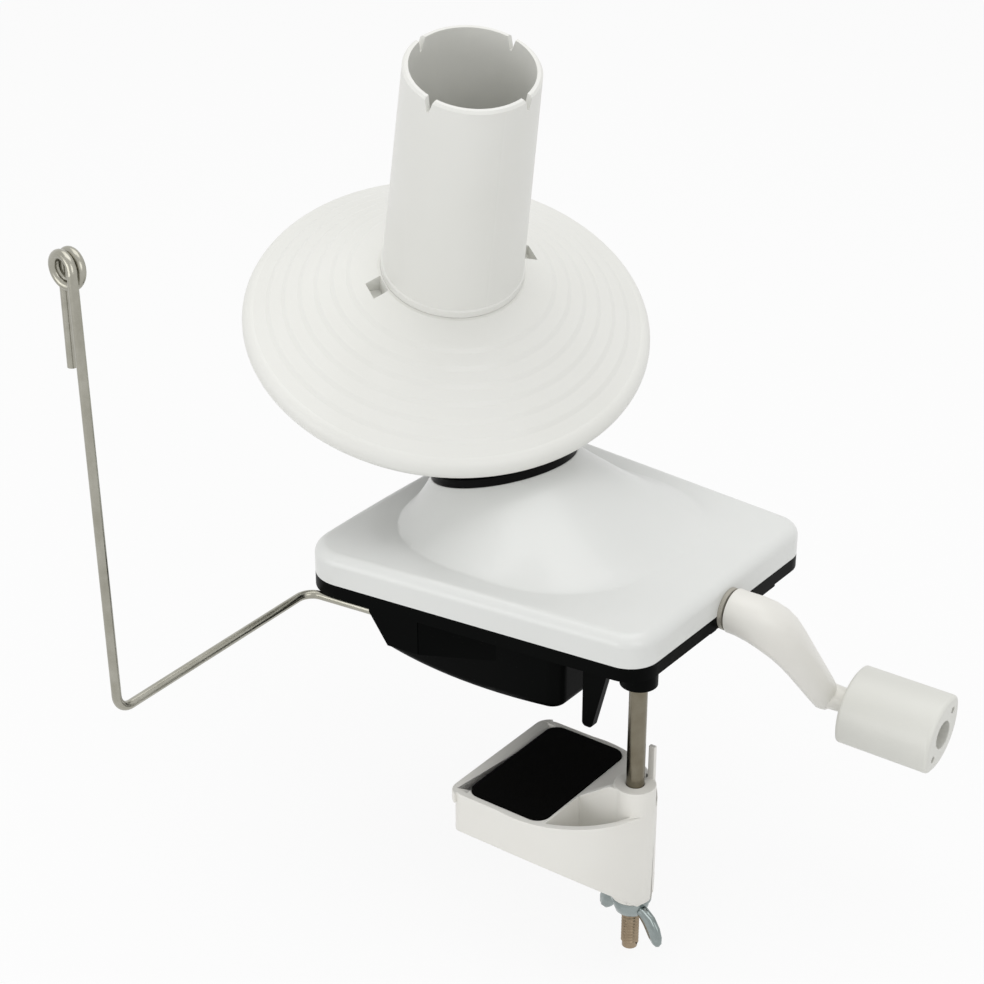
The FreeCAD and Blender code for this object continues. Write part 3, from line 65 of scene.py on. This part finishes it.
# ------------------------------------------------------------------ camera
IMAGE = 984              # pixels, square
FOCAL = 2080             # pixels
SENSOR = 36              # mm
CAMERA_AT = Vector((0.3825, -0.5523, 0.3824))
CAMERA_HEADING = (-0.595, 0.804)
CAMERA_PITCH = math.radians(26)


def add_camera():
    """The scene's camera, aimed by a heading over the ground and a pitch below it."""
    data = bpy.data.cameras.new("camera")
    data.sensor_width = SENSOR
    data.lens = FOCAL / IMAGE * SENSOR
    data.clip_start = 0.01
    data.clip_end = 60
    cam = bpy.data.objects.new("camera", data)
    scene.collection.objects.link(cam)
    level = Vector((*CAMERA_HEADING, 0)).normalized()
    look = level * math.cos(CAMERA_PITCH) - Vector((0, 0, 1)) * math.sin(CAMERA_PITCH)
    cam.location = CAMERA_AT
    cam.rotation_mode = "QUATERNION"
    cam.rotation_quaternion = look.to_track_quat("-Z", "Y")
    scene.camera = cam


add_camera()


# ------------------------------------------------------------------ node helpers
def node(tree, kind, **values):
    """A shader node; each value sets a property, or an input whose name has spaces for underlines."""
    n = tree.nodes.new(kind)
    for k, v in values.items():
        if hasattr(n, k):
            setattr(n, k, v)
        else:
            n.inputs[k.replace("_", " ")].default_value = v
    return n


def group(name, sockets_in, sockets_out):
    """A shader node group with named inputs and outputs: (tree, input node, output node)."""
    g = bpy.data.node_groups.new(name, "ShaderNodeTree")
    for label, kind, value in sockets_in:
        s = g.interface.new_socket(label, in_out="INPUT", socket_type=kind)
        s.default_value = value
    for label, kind in sockets_out:
        g.interface.new_socket(label, in_out="OUTPUT", socket_type=kind)
    return g, g.nodes.new("NodeGroupInput"), g.nodes.new("NodeGroupOutput")


COLOR, FLOAT, VECTOR = "NodeSocketColor", "NodeSocketFloat", "NodeSocketVector"


# ------------------------------------------------------------------ shared effects
TINT_LOW = 0.35           # noise level where the second tone starts


def skin(g, i, o, tint, gloss, relief):
    """Joins noises to the outputs: tint mixes two tones, gloss moves the roughness, relief is the bump.

    tint is (noise, level where the second tone is whole), gloss is (noise, input that scales it) and
    relief is (noise, input for its strength, height in metres).
    """
    spread = node(g, "ShaderNodeMapRange", From_Min=TINT_LOW, From_Max=tint[1])
    tone = node(g, "ShaderNodeMix", data_type="RGBA")
    drift = node(g, "ShaderNodeMath", operation="SUBTRACT")
    drift.inputs[1].default_value = 0.5
    scaled = node(g, "ShaderNodeMath", operation="MULTIPLY")
    rough = node(g, "ShaderNodeMath", operation="ADD", use_clamp=True)
    bump = node(g, "ShaderNodeBump", Distance=relief[2])
    joins = [(tint[0].outputs["Fac"], spread.inputs["Value"]),
             (spread.outputs["Result"], tone.inputs["Factor"]),
             (i.outputs["Tone"], tone.inputs["A"]),
             (i.outputs["Second Tone"], tone.inputs["B"]),
             (tone.outputs["Result"], o.inputs["Color"]),
             (gloss[0].outputs["Fac"], drift.inputs[0]),
             (drift.outputs[0], scaled.inputs[0]),
             (i.outputs[gloss[1]], scaled.inputs[1]),
             (scaled.outputs[0], rough.inputs[0]),
             (i.outputs["Roughness"], rough.inputs[1]),
             (rough.outputs[0], o.inputs["Roughness"]),
             (relief[0].outputs["Fac"], bump.inputs["Height"]),
             (i.outputs[relief[1]], bump.inputs["Strength"]),
             (bump.outputs["Normal"], o.inputs["Normal"])]
    for start, end in joins:
        g.links.new(start, end)


def moulded_group():
    """Injection moulded skin: faint tone drift, soft gloss drift and a very fine texture."""
    g, i, o = group("moulded_skin",
                    [("Tone", COLOR, (0.8, 0.8, 0.8, 1)), ("Second Tone", COLOR, (0.7, 0.7, 0.7, 1)),
                     ("Roughness", FLOAT, 0.3), ("Gloss Drift", FLOAT, 0.06), ("Grain Size", FLOAT, 900.0),
                     ("Grain Depth", FLOAT, 0.05)],
                    [("Color", COLOR), ("Roughness", FLOAT), ("Normal", VECTOR)])
    where = node(g, "ShaderNodeTexCoord")
    cloud = node(g, "ShaderNodeTexNoise", Scale=14.0, Detail=3.0, Roughness=0.5)
    smudge = node(g, "ShaderNodeTexNoise", Scale=55.0, Detail=5.0, Roughness=0.6)
    grain = node(g, "ShaderNodeTexNoise", Detail=2.0, Roughness=0.55)
    for n in (cloud, smudge, grain):
        g.links.new(where.outputs["Object"], n.inputs["Vector"])
    g.links.new(i.outputs["Grain Size"], grain.inputs["Scale"])
    skin(g, i, o, (cloud, 0.65), (smudge, "Gloss Drift"), (grain, "Grain Depth", 0.0002))
    return g


def plated_group():
    """Plated steel: cloudy tint, fine specks in the gloss and shallow draw lines along one axis."""
    g, i, o = group("plated_skin",
                    [("Tone", COLOR, (0.5, 0.5, 0.5, 1)), ("Second Tone", COLOR, (0.4, 0.4, 0.4, 1)),
                     ("Roughness", FLOAT, 0.2), ("Roughness Drift", FLOAT, 0.12),
                     ("Line Stretch", VECTOR, (1.0, 1.0, 1.0)), ("Line Depth", FLOAT, 0.1)],
                    [("Color", COLOR), ("Roughness", FLOAT), ("Normal", VECTOR)])
    where = node(g, "ShaderNodeTexCoord")
    stretch = node(g, "ShaderNodeVectorMath", operation="MULTIPLY")
    cloud = node(g, "ShaderNodeTexNoise", Scale=120.0, Detail=4.0, Roughness=0.6)
    lines = node(g, "ShaderNodeTexNoise", Scale=2600.0, Detail=2.0, Roughness=0.5)
    g.links.new(where.outputs["Object"], cloud.inputs["Vector"])
    g.links.new(where.outputs["Object"], stretch.inputs[0])
    g.links.new(i.outputs["Line Stretch"], stretch.inputs[1])
    g.links.new(stretch.outputs[0], lines.inputs["Vector"])
    skin(g, i, o, (cloud, 0.7), (lines, "Roughness Drift"), (lines, "Line Depth", 0.0001))
    return g


MOULDED = moulded_group()
PLATED = plated_group()


def finish_with(effect, name, shader, **values):
    """A Principled material whose colour, roughness and normal come from a shared effect."""
    m = bpy.data.materials.new(name)
    m.use_nodes = True
    t = m.node_tree
    bsdf = next(n for n in t.nodes if n.type == "BSDF_PRINCIPLED")
    effect_node = t.nodes.new("ShaderNodeGroup")
    effect_node.node_tree = effect
    for k, v in values.items():
        effect_node.inputs[k.replace("_", " ")].default_value = v
    t.links.new(effect_node.outputs["Color"], bsdf.inputs["Base Color"])
    t.links.new(effect_node.outputs["Roughness"], bsdf.inputs["Roughness"])
    t.links.new(effect_node.outputs["Normal"], bsdf.inputs["Normal"])
    for k, v in shader.items():
        bsdf.inputs[k].default_value = v
    return m


def rgb(r, g, b):
    """An opaque colour."""
    return (r, g, b, 1.0)


cover_white = finish_with(MOULDED, "gloss_white_cover",
                          {"IOR": 1.5, "Coat Weight": 0.2, "Coat Roughness": 0.08},
                          Tone=rgb(0.76, 0.77, 0.75), Second_Tone=rgb(0.735, 0.745, 0.725), Roughness=0.34,
                          Gloss_Drift=0.08, Grain_Size=1400.0, Grain_Depth=0.03)
disc_white = finish_with(MOULDED, "satin_white_disc", {"IOR": 1.48},
                         Tone=rgb(0.80, 0.80, 0.765), Second_Tone=rgb(0.775, 0.775, 0.735), Roughness=0.4,
                         Gloss_Drift=0.1, Grain_Size=1200.0, Grain_Depth=0.04)
warm_white = finish_with(MOULDED, "warm_white_plastic", {"IOR": 1.48},
                         Tone=rgb(0.82, 0.81, 0.765), Second_Tone=rgb(0.79, 0.775, 0.725), Roughness=0.38,
                         Gloss_Drift=0.12, Grain_Size=1100.0, Grain_Depth=0.05)
knob_white = finish_with(MOULDED, "handle_white_plastic", {"IOR": 1.48},
                         Tone=rgb(0.73, 0.73, 0.685), Second_Tone=rgb(0.70, 0.70, 0.655), Roughness=0.36,
                         Gloss_Drift=0.12, Grain_Size=1100.0, Grain_Depth=0.05)
black_plastic = finish_with(MOULDED, "black_satin_plastic", {"IOR": 1.46, "Specular IOR Level": 0.03},
                            Tone=rgb(0.0012, 0.0014, 0.0013), Second_Tone=rgb(0.0022, 0.0025, 0.0023),
                            Roughness=0.36, Gloss_Drift=0.16, Grain_Size=1600.0, Grain_Depth=0.08)
gear_plastic = finish_with(MOULDED, "black_gear_plastic", {"IOR": 1.5, "Specular IOR Level": 0.06},
                           Tone=rgb(0.0022, 0.0022, 0.0022), Second_Tone=rgb(0.0034, 0.0034, 0.0034),
                           Roughness=0.38, Gloss_Drift=0.1, Grain_Size=900.0, Grain_Depth=0.1)
bearing_plastic = finish_with(MOULDED, "bearing_plastic", {"IOR": 1.5},
                              Tone=rgb(0.42, 0.40, 0.34), Second_Tone=rgb(0.36, 0.34, 0.29), Roughness=0.45,
                              Gloss_Drift=0.1, Grain_Size=900.0, Grain_Depth=0.1)
pad_rubber = finish_with(MOULDED, "pad_rubber", {"IOR": 1.4, "Specular IOR Level": 0.05},
                         Tone=rgb(0.0012, 0.0012, 0.001), Second_Tone=rgb(0.002, 0.002, 0.0018),
                         Roughness=0.8, Gloss_Drift=0.2, Grain_Size=2400.0, Grain_Depth=0.5)
nickel = finish_with(PLATED, "nickel_plated_steel", {"Metallic": 1.0},
                     Tone=rgb(0.21, 0.19, 0.145), Second_Tone=rgb(0.165, 0.145, 0.105), Roughness=0.24,
                     Roughness_Drift=0.16, Line_Stretch=(1, 1, 0.02), Line_Depth=0.12)
thread_nickel = finish_with(PLATED, "nickel_plated_thread", {"Metallic": 1.0},
                            Tone=rgb(0.34, 0.27, 0.19), Second_Tone=rgb(0.24, 0.18, 0.12), Roughness=0.3,
                            Roughness_Drift=0.2, Line_Stretch=(1, 1, 1), Line_Depth=0.2)
wire_nickel = finish_with(PLATED, "nickel_plated_wire", {"Metallic": 1.0},
                          Tone=rgb(0.40, 0.39, 0.34), Second_Tone=rgb(0.32, 0.31, 0.26), Roughness=0.24,
                          Roughness_Drift=0.12, Line_Stretch=(1, 1, 0.3), Line_Depth=0.05)
zinc = finish_with(PLATED, "bright_zinc_plate", {"Metallic": 1.0},
                   Tone=rgb(0.31, 0.35, 0.345), Second_Tone=rgb(0.19, 0.22, 0.215), Roughness=0.22,
                   Roughness_Drift=0.2, Line_Stretch=(0.4, 0.4, 0.4), Line_Depth=0.25)

FINISH = {"cover_white": cover_white, "disc_white": disc_white, "warm_white": warm_white,
          "black_plastic": black_plastic, "gear_plastic": gear_plastic, "bearing_plastic": bearing_plastic,
          "rubber_pad": pad_rubber, "steel": nickel, "zinc": zinc}
OWN_FINISH = {"knob": knob_white, "yarn_guide_wire": wire_nickel}
SLOT = {s["node"]: s["material_slot"] for s in frame["record"]["subparts"]}


def finish_of(name):
    """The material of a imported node."""
    return OWN_FINISH.get(name, FINISH[SLOT[name]])


def dress(o, material):
    """Gives an object one material."""
    o.data.materials.clear()
    o.data.materials.append(material)


for name, o in nodes.items():
    dress(o, finish_of(name))


# ------------------------------------------------------------------ modelled pieces
def shade(me, corner):
    """Smooth shading, with an edge sharper than the corner angle (degrees) left crisp."""
    me.shade_smooth()
    me.set_sharp_from_angle(angle=math.radians(corner))


def piece(name, bm, material, body, stands_for=(), corner=40):
    """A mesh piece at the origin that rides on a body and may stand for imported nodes."""
    me = bpy.data.meshes.new(name)
    bm.to_mesh(me)
    bm.free()
    shade(me, corner)
    o = bpy.data.objects.new(name, me)
    scene.collection.objects.link(o)
    me.materials.append(material)
    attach(o, body)
    if stands_for:
        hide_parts(*stands_for)
    return o


def body_of(name):
    """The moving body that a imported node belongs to."""
    return next(b for b, members in frame["record"]["behaviour"]["bodies"].items() if name in members)


def solid_copy(name):
    """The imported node's mesh at rest, merged, with its flat faces whole again."""
    bm = bmesh.new()
    bm.from_mesh(nodes[name].data)
    bm.transform(nodes[name].matrix_world)
    bmesh.ops.remove_doubles(bm, verts=bm.verts, dist=MERGE)
    bmesh.ops.dissolve_limit(bm, angle_limit=FLAT_WITHIN, verts=bm.verts, edges=bm.edges)
    return bm


def soften(name, width, corner=38, segments=2):
    """The node with its sharp edges rounded by a small radius."""
    bm = solid_copy(name)
    sharp = [e for e in bm.edges if e.is_manifold and e.calc_face_angle(0) > math.radians(corner)]
    bmesh.ops.bevel(bm, geom=sharp, offset=width * MM, offset_type="OFFSET", segments=segments, profile=0.5,
                    affect="EDGES", clamp_overlap=False, material=-1)
    bmesh.ops.recalc_face_normals(bm, faces=bm.faces)
    o = piece(name + "_soft", bm, finish_of(name), body_of(name), (name,))
    weigh = o.modifiers.new("weigh", "WEIGHTED_NORMAL")
    weigh.keep_sharp = True


for name, width in SOFT.items():
    soften(name, width)


# ------------------------------------------------------------------ small parts in full detail
ROUND_STEPS = 48


def ring_loop(bm, place, segments):
    """A ring of edges; place(angle) gives each point. Returns its edges."""
    made = bmesh.ops.create_circle(bm, cap_ends=False, segments=segments, radius=1)["verts"]
    for k, v in enumerate(made):
        v.co = place(2 * math.pi * k / segments)
    return list({e for v in made for e in v.link_edges})


def skin_over(bm, loops):
    """Faces over a row of rings, both ends closed."""
    for a, b in zip(loops, loops[1:]):
        bmesh.ops.bridge_loops(bm, edges=a + b)
    for end in (loops[0], loops[-1]):
        bmesh.ops.contextual_create(bm, geom=end)
    bmesh.ops.recalc_face_normals(bm, faces=bm.faces)


def post(bm, x, y, z0, z1, r, segments=ROUND_STEPS):
    """An upright round bar."""
    middle = Vector((x, y, (z0 + z1) / 2)) * MM
    bmesh.ops.create_cone(bm, cap_ends=True, segments=segments, radius1=r * MM, radius2=r * MM,
                          depth=(z1 - z0) * MM, matrix=Matrix.Translation(middle))


# clamp rod: one helical thread below the plain shank
ROD_AT = (67.0, -43.5)
ROD_R, ROD_TOP_R = 3.175, 3.0
THREAD_PITCH, THREAD_DEPTH, THREAD_LOW, THREAD_HIGH = 1.27, 0.42, -87.0, -34.0
TURN_STEPS = 28           # faces round one turn of thread
ROD_END, ROD_SHOULDER, ROD_TOP = -88.0, 22.0, 38.0
SHANK_OVERLAP = 0.6       # the plain shank starts this far down in the thread
CORE_OVERLAP = 0.02       # the core reaches this far into the thread
# one turn of thread: share of the depth, share of the pitch
THREAD_RIDGE = [(0, 0.0), (0, 0.12), (1, 0.44), (1, 0.56), (0, 0.88), (0, 1.0)]


def threaded_rod():
    """The clamp rod: plain above, one helical ridge round a core below, in two materials."""
    bm = bmesh.new()
    root = ROD_R - THREAD_DEPTH
    turns = round((THREAD_HIGH - THREAD_LOW) / THREAD_PITCH) - 1
    verts = [bm.verts.new(((root + high * THREAD_DEPTH) * MM, 0, (THREAD_LOW + t * THREAD_PITCH) * MM))
             for high, t in THREAD_RIDGE]
    edges = [bm.edges.new(pair) for pair in zip(verts, verts[1:])]
    bmesh.ops.spin(bm, geom=verts + edges, cent=(0, 0, 0), axis=(0, 0, 1),
                   dvec=(0, 0, THREAD_PITCH / TURN_STEPS * MM),
                   angle=2 * math.pi * turns, steps=TURN_STEPS * turns)
    bmesh.ops.remove_doubles(bm, verts=bm.verts, dist=MERGE)
    bmesh.ops.translate(bm, verts=bm.verts, vec=(ROD_AT[0] * MM, ROD_AT[1] * MM, 0))
    bmesh.ops.recalc_face_normals(bm, faces=bm.faces)
    post(bm, *ROD_AT, ROD_END, THREAD_HIGH, root + CORE_OVERLAP, TURN_STEPS)
    for f in bm.faces:
        f.material_index = 1
    post(bm, *ROD_AT, THREAD_HIGH - SHANK_OVERLAP, ROD_SHOULDER, ROD_R)
    post(bm, *ROD_AT, ROD_SHOULDER, ROD_TOP, ROD_TOP_R)
    o = piece("clamp_rod_threaded", bm, nickel, body_of("clamp_rod"), ("clamp_rod",),
              corner=35)
    o.data.materials.append(thread_nickel)


# crank arm: domed outside, flat inside with a crisp edge, swept round the bend
AXIS_Z, CRANK_RADIUS, DROP = 32.0, 62.7, math.radians(49.2)
OUT = Vector((1, 0, 0))
ALONG = Vector((0, math.cos(DROP), -math.sin(DROP)))
ACROSS = OUT.cross(ALONG)
# each row: place out from the housing, place down the arm, turn, half width, half depth, flatness
ARM_ROWS = [(77.6, 0, 0, 8.0, 8.0, 0.0), (81.0, 0.1, 4, 8.0, 8.0, 0.15), (85.5, 0.7, 16, 8.4, 8.1, 0.4),
            (89.5, 2.6, 34, 8.7, 7.7, 0.7), (92.6, 6.6, 54, 8.8, 7.0, 0.95), (94.4, 12.5, 72, 8.5, 6.2, 1.0),
            (95.1, 21.0, 85, 8.0, 5.5, 1.0), (95.2, 32.0, 90, 7.4, 5.1, 1.0), (95.2, 45.0, 90, 6.9, 4.8, 1.0),
            (95.2, 57.0, 90, 6.4, 4.6, 1.0), (95.2, 62.7, 90, 6.0, 4.4, 1.0), (95.2, 66.2, 90, 4.9, 4.0, 1.0),
            (95.2, 68.1, 90, 3.3, 3.2, 1.0), (95.2, 69.0, 90, 1.2, 1.6, 1.0)]
ARM_INNER = 0.62          # depth of the flat side as a share of the dome
ARM_CORNER = 0.3          # small for square corners on the flat side
ARM_STEPS = 64
NECK_R, NECK_FLARE = 4.5, 0.5
NECK_MIDDLE, NECK_L = 99.1, 10.2


def crank_arm_shaped():
    """The crank arm as one skin over ARM_ROWS, with the handle's neck on its lower end."""
    bm = bmesh.new()
    loops = []
    for x, d, turn, a, b, flat in ARM_ROWS:
        t = math.radians(turn)
        inward = ALONG * math.cos(t) - OUT * math.sin(t)
        middle = Vector((x, 0, AXIS_Z)) + ALONG * d

        def place(q):
            c, w = math.cos(q), math.sin(q)
            if w < 0:
                cd, wd = a * c, -b * w * w
            else:
                cd, wd = a * math.copysign(abs(c) ** ARM_CORNER, c), b * ARM_INNER * w ** ARM_CORNER
            across = a * c * (1 - flat) + cd * flat
            depth = b * w * (1 - flat) + wd * flat
            return (middle + ACROSS * across + inward * depth) * MM
        loops.append(ring_loop(bm, place, ARM_STEPS))
    skin_over(bm, loops)
    end = Vector((0, 0, AXIS_Z)) + ALONG * CRANK_RADIUS
    to_middle = Matrix.Translation(Vector((NECK_MIDDLE, end.y, end.z)) * MM)
    bmesh.ops.create_cone(bm, cap_ends=True, segments=ROUND_STEPS, radius1=(NECK_R + NECK_FLARE) * MM,
                          radius2=NECK_R * MM, depth=NECK_L * MM,
                          matrix=to_middle @ Matrix.Rotation(math.radians(90), 4, "Y"))
    piece("crank_arm_shaped", bm, warm_white, body_of("crank_arm"), ("crank_arm",),
          corner=28)


# wing nut: low cast hub and two drooping wings with a rib
NUT_TOP, NUT_TURN = -67.2, math.radians(-17)
# each row: radius, height
HUB_ROWS = [(3.4, 0.0), (6.3, 0.0), (6.5, -0.5), (6.3, -2.6), (5.6, -4.6), (4.9, -5.3), (3.4, -5.4)]
HUB_STEPS, WING_STEPS = 64, 40
RIB_HEIGHT, RIB_NARROW = 0.22, 2.2
WING_EDGE = 0.7           # below 1 for a fuller edge
# each row: place out from the rod, height, tilt, half height, half thickness
WING_ROWS = [(3.8, -2.6, -8, 2.2, 1.7), (7.0, -3.1, -20, 2.9, 1.6), (9.8, -4.6, -42, 3.5, 1.5),
             (12.0, -7.0, -58, 3.6, 1.5), (13.5, -9.6, -66, 3.1, 1.5), (14.4, -11.6, -70, 2.1, 1.2),
             (14.8, -12.5, -72, 0.9, 0.6)]


def wing_nut_shaped():
    """The wing nut: a turned hub, and one wing made twice."""
    bm = bmesh.new()
    profile = [bm.verts.new((r * MM, 0, z * MM)) for r, z in HUB_ROWS]
    edges = [bm.edges.new(pair) for pair in zip(profile, profile[1:])]
    bmesh.ops.spin(bm, geom=profile + edges, cent=(0, 0, 0), axis=(0, 0, 1), angle=2 * math.pi,
                   steps=HUB_STEPS)
    bmesh.ops.remove_doubles(bm, verts=bm.verts, dist=MERGE)
    bmesh.ops.recalc_face_normals(bm, faces=bm.faces)
    for side in (1, -1):
        wing = bmesh.new()
        loops = []
        for r, z, tilt, high, thick in WING_ROWS:
            t = math.radians(tilt + 90)
            up = Vector((math.cos(t), 0, math.sin(t)))

            def place(q):
                c, w = math.cos(q), math.sin(q)
                rib = 1 + RIB_HEIGHT * max(0.0, 1 - abs(c) * RIB_NARROW)
                side_way = Vector((0, thick * math.copysign(abs(w) ** WING_EDGE, w) * rib, 0))
                return (Vector((r, 0, z)) + up * (high * c) + side_way) * MM
            loops.append(ring_loop(wing, place, WING_STEPS))
        skin_over(wing, loops)
        if side < 0:
            bmesh.ops.rotate(wing, verts=wing.verts, cent=(0, 0, 0), matrix=Matrix.Rotation(math.pi, 3, "Z"))
        me = bpy.data.meshes.new("wing")
        wing.to_mesh(me)
        wing.free()
        bm.from_mesh(me)
        bpy.data.meshes.remove(me)
    bmesh.ops.rotate(bm, verts=bm.verts, cent=(0, 0, 0), matrix=Matrix.Rotation(NUT_TURN, 3, "Z"))
    bmesh.ops.translate(bm, verts=bm.verts, vec=(ROD_AT[0] * MM, ROD_AT[1] * MM, NUT_TOP * MM))
    piece("wing_nut_shaped", bm, zinc, body_of("wing_nut"), ("wing_nut",),
          corner=50)


threaded_rod()
crank_arm_shaped()
wing_nut_shaped()


# ------------------------------------------------------------------ studio
def lamp(name, at, target, size, power):
    """A square area lamp that faces the target; size in metres, power in watts."""
    data = bpy.data.lights.new(name, "AREA")
    data.shape = "SQUARE"
    data.size = size
    data.energy = power
    o = bpy.data.objects.new(name, data)
    scene.collection.objects.link(o)
    o.location = at
    o.rotation_mode = "QUATERNION"
    o.rotation_quaternion = (Vector(target) - Vector(at)).to_track_quat("-Z", "Y")


FLOOR_GAP = 0.004         # m, below the lowest point of the object
FLOOR_HALF = 15           # m, from the middle to an edge
FLOOR_TONE = 0.82
FLOOR_GLOW = 0.9          # share of the floor seen as plain white
SKY_LEVEL = 0.66          # strength of the sky as a lamp; it is seen at 1


def seen(t):
    """A socket that is 1 for camera, glossy and transmission rays, and 0 for all others."""
    path = node(t, "ShaderNodeLightPath")
    level = path.outputs["Is Camera Ray"]
    for ray in ("Is Glossy Ray", "Is Transmission Ray"):
        either = node(t, "ShaderNodeMath", operation="MAXIMUM")
        t.links.new(level, either.inputs[0])
        t.links.new(path.outputs[ray], either.inputs[1])
        level = either.outputs[0]
    return level


def add_floor():
    """A pale floor that keeps the object's shadow and is seen almost white."""
    bm = bmesh.new()
    bmesh.ops.create_grid(bm, x_segments=1, y_segments=1, size=FLOOR_HALF)
    me = bpy.data.meshes.new("floor")
    bmesh.ops.translate(bm, verts=bm.verts, vec=(0, 0, cad_low.z - FLOOR_GAP))
    bm.to_mesh(me)
    bm.free()
    floor = bpy.data.objects.new("floor", me)
    scene.collection.objects.link(floor)
    m = bpy.data.materials.new("pale_floor")
    m.use_nodes = True
    t = m.node_tree
    t.nodes.clear()
    out = node(t, "ShaderNodeOutputMaterial")
    mix = node(t, "ShaderNodeMixShader")
    paint = node(t, "ShaderNodeBsdfDiffuse", Color=rgb(FLOOR_TONE, FLOOR_TONE, FLOOR_TONE))
    glow = node(t, "ShaderNodeEmission", Color=rgb(1, 1, 1), Strength=1.0)
    share = node(t, "ShaderNodeMath", operation="MULTIPLY")
    share.inputs[1].default_value = FLOOR_GLOW
    t.links.new(seen(t), share.inputs[0])
    t.links.new(share.outputs[0], mix.inputs["Fac"])
    t.links.new(paint.outputs[0], mix.inputs[1])
    t.links.new(glow.outputs[0], mix.inputs[2])
    t.links.new(mix.outputs[0], out.inputs["Surface"])
    me.materials.append(m)


def add_world():
    """A white sky, dimmer as a lamp than it is seen."""
    w = bpy.data.worlds.new("studio")
    scene.world = w
    w.use_nodes = True
    t = w.node_tree
    bg = next(n for n in t.nodes if n.type == "BACKGROUND")
    bg.inputs["Color"].default_value = rgb(1, 1, 1)
    level = node(t, "ShaderNodeMapRange", To_Min=SKY_LEVEL, To_Max=1.0)
    t.links.new(seen(t), level.inputs["Value"])
    t.links.new(level.outputs[0], bg.inputs["Strength"])


add_floor()
add_world()
AIM = (0, 0, 0.05)
lamp("overhead", (-0.1, 0.1, 1.4), AIM, 1.2, 6)
lamp("front_right", (1.2, -0.7, 0.8), AIM, 0.9, 3.5)
lamp("front_left", (-0.5, -1.3, 0.12), AIM, 0.9, 4.5)
